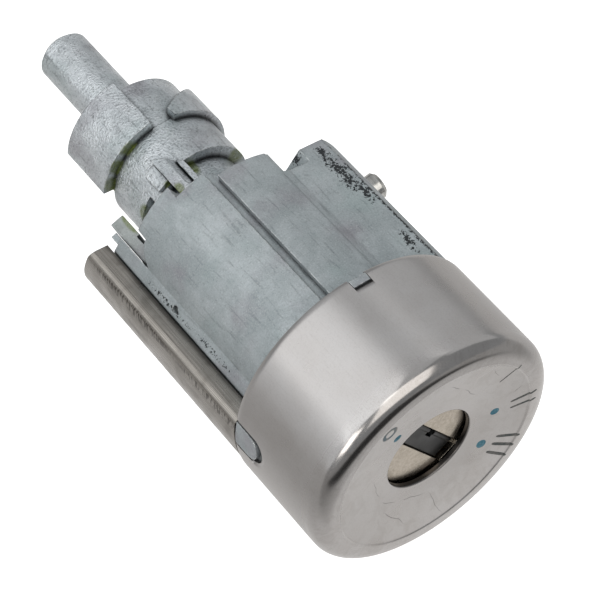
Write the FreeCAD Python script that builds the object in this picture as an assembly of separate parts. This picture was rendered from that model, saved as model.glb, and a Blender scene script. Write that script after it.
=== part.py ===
import FreeCAD, Part
import math
import os

Vec = FreeCAD.Vector

# All sizes are in millimetres and degrees.
# A station is a distance behind the front plane of the cap, along the lock axis (Y).
# An angle is counted counter-clockwise from +X, seen from the front, in the XZ plane.

# Reach of one solid into the next where they are joined, and of a cutting shape past a surface
wall_overlap = 2.0
over = 1.0

# Cap, pressed from stainless sheet
cap_radius = 19.0
cap_depth = 18.2
cap_sheet = 0.7
cap_edge_round = 2.4
cap_edge_steps = 4
cap_hole_radius = 6.6
cap_hole_station = 1.65
cap_bead_inset = 3.4
cap_bead_radius = cap_radius - cap_bead_inset
cap_bead_step = 0.18
cap_bead_width = 0.3
cap_lip_bevel = 0.35
rim_notch_angles = (85.5, 93.7)
rim_notch_depth = 1.8
rim_notch_station = cap_depth - rim_notch_depth
side_notch_angle = 176.5
side_notch_half_width = 2.5
side_notch_depth = 5.8
side_notch_station = cap_depth - side_notch_depth

# Housing, zinc die casting
cap_fit = 0.05
nose_radius = cap_radius - cap_sheet - cap_fit
nose_front = 2.9
nose_set_back = 0.4
nose_rear = cap_depth - nose_set_back
barrel_radius = 14.7
barrel_rear = 48.8
notch_rear = 46.7
notch_angles = (98.5, 122.0)
band_rise = 0.3
band_radius = barrel_radius + band_rise
band_angles = (66.5, notch_angles[0])
band_rear = 45.0
band_edge_round = 0.9
groove_depth = 1.0
groove_radius = barrel_radius - groove_depth
groove_angles = (notch_angles[0], 103.5)
wing_inset = 0.4
wing_radius = cap_radius - wing_inset
wing_inner_corner = (6.0, 13.05)
wing_outer_corner = (13.9, 12.3)
wing_low_angle = -30.0
wing_root_angle = -38.0
wing_root_x = 2.0
wing_rear = 43.7
wing_step_rear = 41.3
wing_step_angle = 51.3
wing_edge_round = 0.5
notch_lug_gap = 0.2
cap_rim_gap = 0.2
boss_half_width = 2.1
boss_set_back = 0.8
boss_front = side_notch_station + boss_set_back
core_inner_radius = 9.4
nose_wall = 1.65
core_outer_radius = nose_radius - nose_wall
core_floor = 4.2
core_rear = nose_rear - core_floor
core_rib_count = 6
core_rib_half_width = 0.7
side_block_rear = 51.2
side_ledge_rise = 0.8
side_ledge_radius = barrel_radius + side_ledge_rise
ledge_start_angle = 164.0
ledge_hole_radius = 0.5
ledge_hole_depth = 1.0
ledge_hole_station = 37.5
ledge_hole_angle = 168.0

# Bore of the housing and the plug that turns in it, nickel-plated brass
running_gap = 0.08
plug_radius = 6.5
bore_radius = plug_radius + running_gap
plug_head_radius = 7.6
head_seat_radius = plug_head_radius + running_gap
plug_face = 2.7
plug_head_rear = 5.2
head_seat_rear = plug_head_rear + 0.1
plug_edge_chamfer = 0.3
bore_rear = 42.4
cavity_front = 44.5
plug_barrel_rear = 44.4
cavity_play = 0.8
stop_lug_radius = 9.8
cavity_radius = stop_lug_radius + cavity_play
cavity_open_angles = (-63.0, 125.0)
land_radius = 7.3
relief_channel_radius = 7.6
relief_channel_angles = (57.0, 137.0, 300.0)
relief_channel_half_angle = 12.0
relief_channel_stations = (5.9, 37.2)
rest_slot_angle = 125.0

# Key slot, keyway and shutter (drawn with the slot upright)
keyway_half_width = 1.3
keyway_half_height = 4.1
keyway_rear = 40.0
slot_hinge_side = 2.3
slot_half_height = 6.8
slot_floor = 4.7
chamber_half_height = 5.85
chamber_rear = 6.9
flap_sheet = 0.7
flap_half_height = 5.65
flap_station = 3.45
flap_gap = 0.1
flap_window_reach = 0.8
hinge_x = 1.75
hinge_pin_radius = 0.35
hinge_hole_radius = 0.4
knuckle_radius = 0.5
knuckle_play = 0.15
hinge_pin_half_length = 7.1
hinge_pin_end_gap = 0.1
hinge_recess_half = 0.8
hinge_recess_play = 0.1
hinge_recess_shift = 0.25
shutter_coil_radius = 0.62
shutter_wire_radius = 0.11
shutter_spring_half = 0.6
shutter_spring_turns = 3
shutter_spring_play = 0.05

# Every coil spring has this number of chords in a turn and this gap at each end
coil_chords = 6
coil_end_gap = 0.02

# Wafers and their springs
wafer_count = 8
wafer_first_station = 9.2
wafer_pitch = 3.4
wafer_thickness = 1.0
wafer_slot_thickness = 1.12
wafer_half_width = 2.6
wafer_length = 10.5
wafer_travel = 1.2
wafer_side_gap = 0.08
wafer_corner = 0.5
window_half_width = 1.4
window_height = 6.6
window_offsets = (0.5, -0.1, 0.3, -0.5, 0.1, 0.5, -0.3, 0.2)
wafer_lug_reach = 4.2
wafer_lug_height = 1.0
wafer_lug_bottom = -2.6
spring_pocket_x = 3.5
spring_pocket_top = 4.3
wafer_spring_radius = 0.5
wafer_wire_radius = 0.12
wafer_spring_turns = 3

# Sidebar
sidebar_stations = (6.95, 36.3)
sidebar_half_thickness = 0.9
sidebar_back_x = -2.9
sidebar_shoulder_x = -5.6
sidebar_edge_x = -6.4
sidebar_edge_half = 0.25
sidebar_gap = 0.08
tongue_half_thickness = 0.4
tongue_end_reach = 0.9
tongue_x = -2.1
tongue_channel_x = -1.85
notch_half_height = 1.1
notch_play = 0.15
sidebar_groove_half = (1.15, 0.4)
sidebar_groove_radii = (6.2, 7.35)
sidebar_spring_stations = (7.85, 35.4)
sidebar_spring_radius = 0.42
sidebar_spring_pocket = 0.55
sidebar_spring_ends = (-4.5, -1.95)
sidebar_wire_radius = 0.1
sidebar_spring_turns = 4

# Retaining clip, tang, cross pin
clip_groove_radius = 4.9
clip_inner_radius = 5.0
clip_outer_radius = 8.2
clip_stations = (42.6, 43.4)
clip_gap_half_angle = 38.0
clip_groove_play = 0.05
clip_seat_radius = 8.7
clip_seat_overlap = 0.1
tang_half_thickness = 2.0
tang_half_height = 4.6
tang_rear = 51.7
tang_fit = 0.05
tang_end_gap = 0.2
cross_pin_radius = 1.0
cross_pin_station = 49.9
cross_pin_half_length = 6.85

# Driver, zinc die casting
neck_radius = 7.0
neck_front = 44.65
drum_radius = 8.8
drum_front = 54.3
drum_rear = 61.6
hub_radius = 8.6
hub_rear = 70.8
hub_edge_bevel = 0.5
cam_a_radius = 10.4
cam_a_angles = (101.0, 175.0)
cam_a_front = 61.5
cam_c_radius = 9.85
cam_c_angles = (-14.0, 80.0)
cam_c_stations = (61.1, 67.0)
cam_c_slant = ((1.77, 62.9), (7.21, 66.5))
cam_c_end_width = 0.8
tail_radius = 4.0
tail_rear = 88.7
tail_tip_bevel = 1.0
tail_flat_depth = 0.15
tail_flat_start = 1.5
stop_lug_angles = (101.0, 121.5)
stop_lug_front = 45.0
stop_lug_rear_ends = (54.0, 57.3)
stop_lug_valley_angles = (106.0, 112.0)
stop_lug_valley_depth = 0.8
stop_lug_low_step = 0.4
drum_apron_angles = (122.0, 145.5)
drum_apron_front = 52.9
hub_low_angles = (176.0, 250.0)
hub_low_radius = neck_radius
hub_low_overlap = 0.3
side_pad_angles = (122.0, 134.0)
side_pad_radius = 9.5
side_pad_stations = (53.0, 56.5)

# Detent under the neck
detent_angle = 250.0
detent_station = 46.6
plunger_radius = 1.2
plunger_tip_radius = 0.4
plunger_tip = 6.55
plunger_rear = 9.0
plunger_travel = 0.3
plunger_gap = 0.07
detent_groove_radius = plunger_tip - plunger_gap
detent_groove_half = (0.97, 0.45)
key_positions = (0.0, 90.0, 123.5, 158.0)
detent_bore_radius = 1.24
detent_spring_radius = 0.95
detent_wire_radius = 0.17
detent_spring_turns = 3
grub_radius = 1.5
grub_depth = 0.4
grub_length = 1.9
grub_outer = barrel_radius - grub_depth
grub_inner = grub_outer - grub_length
grub_slot_half_width = 0.25
grub_slot_depth = 0.7
grub_play = 0.05

# Retaining pin in the wing
pin_radius = 2.0
pin_angle = 12.0
pin_station = 38.2
pin_reach = 1.8
pin_tip = wing_radius + pin_reach
pin_tip_bevel = 0.5
pin_flange_radius = 2.6
pin_bore_gap = 0.06
pin_lip = 1.85
pin_lip_play = 0.05
pin_flange_thickness = 1.8
pin_lip_inner = wing_radius - pin_lip
pin_flange_ends = (pin_lip_inner - pin_lip_play - pin_flange_thickness, pin_lip_inner - pin_lip_play)
pin_floor_wall = 1.0
pin_bore_floor = relief_channel_radius + pin_floor_wall
pin_tail_radius = 0.9
pin_tail_length = 2.5
pin_spring_radius = 1.75
pin_wire_radius = 0.25
pin_spring_turns = 4

# Steel bar along the left side
bar_stand_off = 4.1
bar_radius = barrel_radius + bar_stand_off
bar_sheet = 1.2
bar_seat_gap = 0.1
bar_angles = (171.5, 214.5)
bar_flange_gap = 0.25
bar_flange_inner = side_ledge_radius + bar_flange_gap
bar_flange_angle = 4.0
bar_flange_side_gap = 0.6
bar_edge_round = 1.1
bar_front_gap = 0.2
bar_front = cap_depth + bar_front_gap
bar_rear_ends = (52.4, 57.2)
bar_tab_angles = (179.0, 181.6)
bar_tab_gap = 0.4
bar_tab_inner = side_ledge_radius + bar_tab_gap
bar_tab_stations = (44.15, 45.3)
side_block_radius = bar_radius - bar_sheet - bar_seat_gap

# Slider beside the rear of the barrel
slider_corner_depth = 2.14
slider_corner_angle = 160.0
slider_lean = 20.8
slider_thickness = 2.1
slider_height = 3.4
slider_stations = (34.0, 54.5)
slider_step = 0.5
slider_head_front = 50.2
slider_edge_round = 0.35
slider_gap = 0.12
slider_lug_ends = (1.8, 3.1)
slider_lug_reach = 5.7
slider_lug_stations = (40.0, 44.0)
slider_lug_root = 0.5
slider_slot_front = 36.88
slider_pocket_front = 26.0
relief_corners = ((0.65, 46.84), (1.49, 46.12), (2.24, 44.69))
relief_front = 46.93
relief_height = 5.0
ledge_nub_thickness = 0.9
ledge_nub_heights = (0.3, 1.6)
ledge_nub_rear = 53.0
slider_spring_radius = 0.85
slider_wire_radius = 0.15
slider_spring_turns = 7


def at(radius, angle, station=0.0):
    """Point at a radius and angle about the lock axis."""
    turn = math.radians(angle)
    return Vec(radius * math.cos(turn), station, radius * math.sin(turn))


def rod(radius, start, end):
    """Round solid on the lock axis between two stations."""
    return Part.makeCylinder(radius, end - start, Vec(0, start, 0), Vec(0, 1, 0))


def radial_rod(radius, inner, outer, angle, station):
    """Round solid on a line that leaves the lock axis at an angle."""
    return Part.makeCylinder(radius, outer - inner, at(inner, angle, station), at(1, angle))


def block(x_ends, z_ends, stations):
    """Rectangular solid between limits across and along the lock axis."""
    corner = Vec(x_ends[0], stations[0], z_ends[0])
    return Part.makeBox(x_ends[1] - x_ends[0], stations[1] - stations[0], z_ends[1] - z_ends[0], corner)


def section(points, stations):
    """Straight-sided section in the XZ plane, drawn out along the lock axis."""
    corners = [Vec(x, stations[0], z) for x, z in points]
    face = Part.Face(Part.makePolygon(corners + corners[:1]))
    return face.extrude(Vec(0, stations[1] - stations[0], 0))


def sector(inner, outer, angles, stations):
    """Part of a ring between two radii, two angles and two stations."""
    middle = (angles[0] + angles[1]) / 2
    start = stations[0]
    out = [at(outer, angle, start) for angle in (angles[0], middle, angles[1])]
    back = [at(inner, angle, start) for angle in (angles[1], middle, angles[0])]
    edges = [
        Part.Arc(out[0], out[1], out[2]).toShape(),
        Part.makeLine(out[2], back[0]),
        Part.Arc(back[0], back[1], back[2]).toShape(),
        Part.makeLine(back[2], out[0]),
    ]
    return Part.Face(Part.Wire(edges)).extrude(Vec(0, stations[1] - start, 0))


def turned(outline):
    """Solid of revolution about the lock axis from an outline of (radius, station) corners."""
    corners = [Vec(radius, station, 0) for radius, station in outline]
    face = Part.Face(Part.makePolygon(corners + corners[:1]))
    return face.revolve(Vec(0, 0, 0), Vec(0, 1, 0), 360)


def to_rest(shape):
    """Turn a piece drawn with the key slot upright to the rest position of the lock."""
    placed = shape.copy()
    placed.rotate(Vec(0, 0, 0), Vec(0, 1, 0), 90.0 - rest_slot_angle)
    return placed


def coil(radius, wire, length, turns, base, direction):
    """Coil spring with its outside radius given, drawn in straight chords from a base point."""
    mean_radius = radius - wire
    steps = turns * coil_chords
    rise = (length - 2 * wire) / steps
    rings = []
    for step in range(steps + 1):
        turn = 2 * math.pi * step / coil_chords
        height = wire + rise * step
        outward = Vec(math.cos(turn), math.sin(turn), 0)
        corners = [
            outward * radius + Vec(0, 0, height),
            outward * mean_radius + Vec(0, 0, height + wire),
            outward * (mean_radius - wire) + Vec(0, 0, height),
            outward * mean_radius + Vec(0, 0, height - wire),
        ]
        rings.append(Part.makePolygon(corners + corners[:1]))
    spring = Part.makeLoft(rings, True, True)
    spring.Placement = FreeCAD.Placement(base, FreeCAD.Rotation(Vec(0, 0, 1), direction))
    return spring


def edges_along_axis(shape, spots, reach):
    """Edges that run along the lock axis and pass near one of the given points."""
    found = []
    for edge in shape.Edges:
        ends = [vertex.Point for vertex in edge.Vertexes]
        if len(ends) < 2 or abs(ends[0].y - ends[1].y) < 1.0:
            continue
        across = math.hypot(ends[0].x - ends[1].x, ends[0].z - ends[1].z)
        middle = (ends[0] + ends[1]) * 0.5
        near = [spot for spot in spots if math.hypot(middle.x - spot[0], middle.z - spot[1]) < reach]
        if across < 0.01 and near:
            found.append(edge)
    return found


def front_cap():
    """Pressed cap: deep skirt, rolled front edge, dished face and the key hole."""
    slope = (cap_hole_station - cap_bead_step) / (cap_bead_radius - cap_bead_width - cap_hole_radius)
    bead_foot = cap_bead_radius - cap_bead_width
    inside_step = slope * cap_lip_bevel
    rolled_edge = []
    for step in range(cap_edge_steps + 1):
        turn = 0.5 * math.pi * step / cap_edge_steps
        rolled_edge.append((cap_radius - cap_edge_round * (1 - math.cos(turn)),
                            cap_edge_round * (1 - math.sin(turn))))
    skin = turned(
        [(cap_radius, cap_depth)] + rolled_edge + [
            (cap_bead_radius, 0),
            (bead_foot, cap_bead_step),
            (cap_hole_radius + cap_lip_bevel, cap_hole_station - inside_step),
            (cap_hole_radius, cap_hole_station - inside_step + cap_lip_bevel),
            (cap_hole_radius, cap_hole_station + cap_sheet),
            (bead_foot, cap_bead_step + cap_sheet),
            (cap_radius - cap_edge_round, cap_sheet),
            (cap_radius - cap_sheet, cap_edge_round),
            (cap_radius - cap_sheet, cap_depth),
        ],
    )
    wall = (nose_radius - over, cap_radius + over)
    rim_notch = sector(wall[0], wall[1], rim_notch_angles, (rim_notch_station, cap_depth + over))
    round_station = side_notch_station + side_notch_half_width
    side_notch = radial_rod(side_notch_half_width, wall[0], wall[1], side_notch_angle, round_station)
    opening = block(wall, (-side_notch_half_width, side_notch_half_width), (round_station, cap_depth + over))
    opening.rotate(Vec(0, 0, 0), Vec(0, 1, 0), -side_notch_angle)
    return skin.cut([rim_notch, side_notch, opening])


def nose():
    """Front drum of the housing, with the cored ring and ribs hidden by the cap."""
    solid = rod(nose_radius, nose_front, nose_rear)
    core = rod(core_outer_radius, nose_front - over, core_rear)
    core = core.cut(rod(core_inner_radius, nose_front - over, core_rear))
    for number in range(core_rib_count):
        rib = block((0, nose_radius), (-core_rib_half_width, core_rib_half_width),
                    (nose_front - over, core_rear))
        rib.rotate(Vec(0, 0, 0), Vec(0, 1, 0), number * 360.0 / core_rib_count)
        core = core.cut(rib)
    solid = solid.cut(core)
    lug_angles = (rim_notch_angles[0] + notch_lug_gap, rim_notch_angles[1] - notch_lug_gap)
    lug = sector(core_outer_radius, cap_radius, lug_angles, (rim_notch_station + notch_lug_gap, nose_rear))
    boss_round = boss_front + boss_half_width
    boss_end = radial_rod(boss_half_width, core_outer_radius, cap_radius + over, side_notch_angle, boss_round)
    boss = block((core_outer_radius, cap_radius + over), (-boss_half_width, boss_half_width),
                 (boss_round, nose_rear))
    boss.rotate(Vec(0, 0, 0), Vec(0, 1, 0), -side_notch_angle)
    boss = boss.fuse(boss_end).common(rod(cap_radius, nose_front, nose_rear))
    return solid.fuse([lug, boss])


def wing():
    """Flat-topped wing on the right side that carries the retaining pin."""
    low = at(wing_radius, wing_low_angle)
    root = at(barrel_radius - over, wing_root_angle)
    inner = Vec(wing_inner_corner[0], 0, wing_inner_corner[1])
    outer_angle = math.degrees(math.atan2(wing_outer_corner[1], wing_outer_corner[0]))
    outer = at(wing_radius, outer_angle)
    edges = [
        Part.makeLine(inner, outer),
        Part.Arc(outer, at(wing_radius, (outer_angle + wing_low_angle) / 2), low).toShape(),
        Part.makeLine(low, root),
        Part.makeLine(root, Vec(wing_root_x, 0, 0)),
        Part.makeLine(Vec(wing_root_x, 0, 0), inner),
    ]
    solid = Part.Face(Part.Wire(edges)).extrude(Vec(0, wing_rear, 0))
    solid = solid.cut(rod(2 * wing_radius, 0, nose_rear - wall_overlap))
    spots = [(outer.x, outer.z), (low.x, low.z)]
    return solid.makeFillet(wing_edge_round, edges_along_axis(solid, spots, wing_edge_round))


def band():
    """Slightly raised band on top of the barrel with one rounded edge."""
    solid = sector(barrel_radius - wall_overlap, band_radius, band_angles,
                   (nose_rear - wall_overlap, band_rear))
    edge = at(band_radius, band_angles[0])
    return solid.makeFillet(band_edge_round, edges_along_axis(solid, [(edge.x, edge.z)], band_rise))


def side_block():
    """Ledge and block on the left side that the steel bar is clipped over."""
    stations = (nose_rear - wall_overlap, side_block_rear)
    root = barrel_radius - wall_overlap
    start, end = bar_angles
    beside = bar_flange_angle + bar_flange_side_gap
    core = sector(root, side_block_radius, (start + beside, end - beside), stations)
    seat = sector(root, side_ledge_radius, bar_angles, stations)
    edge = at(barrel_radius, ledge_start_angle)
    corner = at(side_ledge_radius, start)
    inside = at(root, start)
    shelf = section([(edge.x, edge.z), (corner.x, corner.z), (inside.x, inside.z)], stations)
    beyond = slider_thickness + slider_gap
    nub = along_slider((beyond, beyond + ledge_nub_thickness), ledge_nub_heights,
                       (side_block_rear - wall_overlap, ledge_nub_rear))
    return core.fuse([seat, shelf, nub])


def slider_corner():
    """Inner upper corner of the slider's section."""
    return at(barrel_radius - slider_corner_depth, slider_corner_angle)


def along_slider(thickness_ends, height_ends, stations):
    """Box in the directions of the slider's plate: through its thickness and down its height."""
    box = block(height_ends, (-thickness_ends[1], -thickness_ends[0]), stations)
    box.rotate(Vec(0, 0, 0), Vec(0, 1, 0), 90.0 - slider_lean)
    box.translate(slider_corner())
    return box


def slider_spring_base():
    """Front end of the slider's spring, in the middle of the pocket's section."""
    down = at(slider_height / 2, slider_lean - 90.0)
    out = at(slider_thickness / 2, slider_lean + 180.0)
    return slider_corner() + Vec(0, slider_pocket_front, 0) + down + out


def plug_bore():
    """Everything that is taken out of the housing around the plug, clip and driver."""
    cuts = [
        rod(head_seat_radius, nose_front - over, head_seat_rear),
        rod(bore_radius, nose_front, bore_rear + over),
        rod(clip_seat_radius, bore_rear, cavity_front + clip_seat_overlap),
        rod(land_radius, cavity_front, side_block_rear + over),
        sector(land_radius - over, cavity_radius, cavity_open_angles, (cavity_front, side_block_rear + over)),
    ]
    for angle in relief_channel_angles:
        spread = (angle - relief_channel_half_angle, angle + relief_channel_half_angle)
        cuts.append(sector(bore_radius - over, relief_channel_radius, spread, relief_channel_stations))
    wide, narrow = sidebar_groove_half
    inner, outer = sidebar_groove_radii
    groove = section([(-inner, -wide), (-inner, wide), (-outer, narrow), (-outer, -narrow)],
                     (sidebar_stations[0] - sidebar_gap, sidebar_stations[1] + sidebar_gap))
    cuts.append(to_rest(groove))
    return cuts


def detent_bore():
    """Stepped radial hole on the underside for plunger, spring and grub screw."""
    outside = barrel_radius + over
    return [
        radial_rod(detent_bore_radius, land_radius - over, outside, detent_angle, detent_station),
        radial_rod(grub_radius, grub_inner - grub_play, outside, detent_angle, detent_station),
    ]


def pin_bore():
    """Stepped radial hole in the wing: spring bore, and the lip that keeps the pin in."""
    return [
        radial_rod(pin_flange_radius + pin_bore_gap, pin_bore_floor, pin_lip_inner, pin_angle, pin_station),
        radial_rod(pin_radius + pin_bore_gap, pin_bore_floor, wing_radius + over, pin_angle, pin_station),
    ]


def slider_pocket():
    """Pocket of the slider, and the slot that its lug runs in."""
    gap = slider_gap
    return [
        along_slider((-gap, slider_thickness + gap), (-gap, slider_height + gap),
                     (slider_pocket_front, side_block_rear + over)),
        along_slider((slider_thickness - slider_lug_root, slider_lug_reach + wall_overlap),
                     (slider_lug_ends[0] - gap, slider_lug_ends[1] + gap),
                     (slider_slot_front, side_block_rear + over)),
    ]


def corner_relief():
    """Relief at the left rear corner of the barrel, down to the slider's upper face."""
    rear = ledge_nub_rear + over
    outline = [(-slider_gap, rear), (-slider_gap, relief_front)]
    outline += relief_corners
    outline.append((relief_corners[-1][0], rear))
    corners = [Vec(-relief_height, station, -across) for across, station in outline]
    shape = Part.Face(Part.makePolygon(corners + corners[:1])).extrude(Vec(relief_height, 0, 0))
    shape.rotate(Vec(0, 0, 0), Vec(0, 1, 0), 90.0 - slider_lean)
    shape.translate(slider_corner())
    return shape


def housing():
    """Housing: nose, barrel, wing, band and block, with all bores and pockets."""
    barrel = rod(barrel_radius, nose_rear - wall_overlap, barrel_rear)
    cap_room = rod(cap_radius + over, nose_front, cap_depth + cap_rim_gap)
    cap_room = cap_room.cut(rod(nose_radius, nose_front, nose_rear))
    solid = barrel.fuse([wing(), band(), side_block()])
    solid = solid.cut(cap_room.cut(rod(barrel_radius, nose_front, barrel_rear))).fuse(nose())
    behind = side_block_rear + over
    top_notch = sector(land_radius, nose_radius, notch_angles, (notch_rear, behind))
    band_end = sector(land_radius, nose_radius, band_angles, (band_rear, behind))
    wing_end = sector(land_radius, wing_radius + over, (wing_low_angle, wing_step_angle), (wing_rear, behind))
    wing_step = sector(cavity_radius, wing_radius + over, (wing_step_angle, band_angles[0]),
                       (wing_step_rear, behind))
    groove = sector(groove_radius, nose_radius - over, groove_angles, (nose_rear, behind))
    ledge_hole = radial_rod(ledge_hole_radius, side_ledge_radius - ledge_hole_depth, side_block_radius,
                            ledge_hole_angle, ledge_hole_station)
    cuts = [top_notch, band_end, wing_end, wing_step, groove, ledge_hole, corner_relief()]
    cuts += plug_bore()
    cuts += detent_bore()
    cuts += pin_bore()
    cuts += slider_pocket()
    return solid.cut(cuts)


def wafer_station(number):
    """Middle plane of a wafer, counted from the face."""
    return wafer_first_station + number * wafer_pitch


def wafer_centre():
    """Height of a wafer's middle with no key in, half of its travel below the axis."""
    return -wafer_travel / 2


def wafer_slot(number):
    """Slot across the plug for one wafer, with room for its lug and its spring."""
    middle = wafer_station(number)
    half = wafer_slot_thickness / 2
    stations = (middle - half, middle + half)
    side = wafer_half_width + wafer_side_gap
    lug_low = wafer_lug_bottom - wafer_side_gap
    across = block((-side, side), (-plug_radius - over, plug_radius + over), stations)
    lug_room = block((side - wafer_corner, wafer_lug_reach + wafer_side_gap), (lug_low, spring_pocket_top),
                     stations)
    return [across, lug_room]


def plug():
    """Plug: head with the key slot, barrel with keyway, wafer slots, clip groove and tang."""
    solid = turned([
        (0, plug_face),
        (plug_head_radius - plug_edge_chamfer, plug_face),
        (plug_head_radius, plug_face + plug_edge_chamfer),
        (plug_head_radius, plug_head_rear),
        (plug_radius, plug_head_rear),
        (plug_radius, clip_stations[0] - clip_groove_play),
        (clip_groove_radius, clip_stations[0] - clip_groove_play),
        (clip_groove_radius, clip_stations[1] + clip_groove_play),
        (plug_radius, clip_stations[1] + clip_groove_play),
        (plug_radius, plug_barrel_rear),
        (0, plug_barrel_rear),
    ])
    tang = block((-tang_half_thickness, tang_half_thickness), (-tang_half_height, tang_half_height),
                 (plug_barrel_rear - over, tang_rear))
    solid = solid.fuse(tang)
    knuckle_room = knuckle_radius + knuckle_play
    cuts = [
        block((-keyway_half_width, keyway_half_width), (-keyway_half_height, keyway_half_height),
              (plug_face - over, keyway_rear)),
        block((-keyway_half_width, slot_hinge_side), (-slot_half_height, slot_half_height),
              (plug_face - over, slot_floor)),
        block((-keyway_half_width, slot_hinge_side), (-chamber_half_height, chamber_half_height),
              (slot_floor - over, chamber_rear)),
        Part.makeCylinder(hinge_hole_radius, 2 * hinge_pin_half_length,
                          Vec(hinge_x, flap_station, -hinge_pin_half_length), Vec(0, 0, 1)),
        Part.makeCylinder(knuckle_room + hinge_recess_play, 2 * hinge_recess_half,
                          Vec(hinge_x + hinge_recess_shift, flap_station, -hinge_recess_half), Vec(0, 0, 1)),
        block((sidebar_edge_x - over, sidebar_back_x + sidebar_gap),
              (-sidebar_half_thickness - sidebar_gap, sidebar_half_thickness + sidebar_gap),
              (sidebar_stations[0] - sidebar_gap, sidebar_stations[1] + sidebar_gap)),
        block((sidebar_back_x - over, tongue_channel_x),
              (-tongue_half_thickness - sidebar_gap, tongue_half_thickness + sidebar_gap),
              (wafer_station(0) - over, wafer_station(wafer_count - 1) + over)),
        Part.makeCylinder(cross_pin_radius, 2 * plug_radius, Vec(-plug_radius, cross_pin_station, 0),
                          Vec(1, 0, 0)),
    ]
    for station in sidebar_spring_stations:
        cuts.append(Part.makeCylinder(sidebar_spring_pocket, sidebar_spring_ends[1] - sidebar_back_x + over,
                                      Vec(sidebar_back_x - over, station, 0), Vec(1, 0, 0)))
    for number in range(wafer_count):
        cuts += wafer_slot(number)
    return solid.cut(cuts)


def shutter_flap():
    """Dust shutter behind the key slot, with two hinge knuckles."""
    flap = block((-keyway_half_width + flap_gap, hinge_x), (-flap_half_height, flap_half_height),
                 (flap_station - flap_sheet / 2, flap_station + flap_sheet / 2))
    knuckle = Part.makeCylinder(knuckle_radius, 2 * flap_half_height,
                                Vec(hinge_x, flap_station, -flap_half_height), Vec(0, 0, 1))
    bore = Part.makeCylinder(hinge_hole_radius, 2 * flap_half_height + 2,
                             Vec(hinge_x, flap_station, -flap_half_height - over), Vec(0, 0, 1))
    half = shutter_spring_half + flap_gap
    window = block((hinge_x - flap_window_reach, hinge_x + over), (-half, half),
                   (flap_station - over, flap_station + over))
    return flap.fuse(knuckle).cut([bore, window])


def shutter_pin():
    """Hinge pin of the shutter."""
    half = hinge_pin_half_length - hinge_pin_end_gap
    return Part.makeCylinder(hinge_pin_radius, 2 * half, Vec(hinge_x, flap_station, -half), Vec(0, 0, 1))


def shutter_spring():
    """Small torsion coil around the hinge pin."""
    half = shutter_spring_half - shutter_spring_play
    return coil(shutter_coil_radius, shutter_wire_radius, 2 * half, shutter_spring_turns,
                Vec(hinge_x, flap_station, -half), Vec(0, 0, 1))


def wafer(number):
    """Brass wafer with its key window, a lug for the spring and the notch for the sidebar."""
    middle = wafer_station(number)
    stations = (middle - wafer_thickness / 2, middle + wafer_thickness / 2)
    half = wafer_length / 2
    width = wafer_half_width
    corner = wafer_corner
    centre = wafer_centre()
    body = section(
        [
            (-width + corner, centre - half),
            (width - corner, centre - half),
            (width, centre - half + corner),
            (width, centre + half - corner),
            (width - corner, centre + half),
            (-width + corner, centre + half),
            (-width, centre + half - corner),
            (-width, centre - half + corner),
        ],
        stations,
    )
    lug_top = wafer_lug_bottom + wafer_lug_height
    lug = block((width - wafer_corner, wafer_lug_reach), (wafer_lug_bottom, lug_top), stations)
    window_low = centre + window_offsets[number] - window_height / 2
    window = block((-window_half_width, window_half_width), (window_low, window_low + window_height),
                   (middle - over, middle + over))
    notch = block((-width - over, tongue_x + notch_play),
                  (centre - notch_half_height, centre + notch_half_height),
                  (middle - over, middle + over))
    return body.fuse(lug).cut([window, notch])


def wafer_spring(number):
    """Coil spring between a wafer's lug and the end of its pocket."""
    base = wafer_lug_bottom + wafer_lug_height + coil_end_gap
    length = spring_pocket_top - base - coil_end_gap
    return coil(wafer_spring_radius, wafer_wire_radius, length, wafer_spring_turns,
                Vec(spring_pocket_x, wafer_station(number), base), Vec(0, 0, 1))


def sidebar():
    """Sidebar with its bevelled outer edge and the tongue that drops into the wafers."""
    half = sidebar_half_thickness
    bar = section(
        [
            (sidebar_back_x, -half),
            (sidebar_back_x, half),
            (sidebar_shoulder_x, half),
            (sidebar_edge_x, sidebar_edge_half),
            (sidebar_edge_x, -sidebar_edge_half),
            (sidebar_shoulder_x, -half),
        ],
        sidebar_stations,
    )
    tongue = block((sidebar_back_x - over, tongue_x), (-tongue_half_thickness, tongue_half_thickness),
                   (wafer_station(0) - tongue_end_reach, wafer_station(wafer_count - 1) + tongue_end_reach))
    bar = bar.fuse(tongue)
    for station in sidebar_spring_stations:
        bar = bar.cut(Part.makeCylinder(sidebar_spring_pocket, sidebar_back_x - sidebar_spring_ends[0] + over,
                                        Vec(sidebar_spring_ends[0], station, 0), Vec(1, 0, 0)))
    return bar


def sidebar_spring(number):
    """Coil spring that pushes one end of the sidebar outwards."""
    inner, outer = sidebar_spring_ends
    length = outer - inner - 2 * coil_end_gap
    return coil(sidebar_spring_radius, sidebar_wire_radius, length, sidebar_spring_turns,
                Vec(inner + coil_end_gap, sidebar_spring_stations[number], 0), Vec(1, 0, 0))


def retaining_clip():
    """Open ring in the groove behind the barrel that keeps the plug from coming forward."""
    ring = rod(clip_outer_radius, clip_stations[0], clip_stations[1])
    ring = ring.cut(rod(clip_inner_radius, clip_stations[0] - over, clip_stations[1] + over))
    gap = sector(1, clip_outer_radius + over, (270 - clip_gap_half_angle, 270 + clip_gap_half_angle),
                 (clip_stations[0] - over, clip_stations[1] + over))
    return ring.cut(gap)


def cross_pin():
    """Pin through the driver's neck and the plug's tang."""
    return Part.makeCylinder(cross_pin_radius, 2 * cross_pin_half_length,
                             Vec(-cross_pin_half_length, cross_pin_station, 0), Vec(1, 0, 0))


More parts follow.
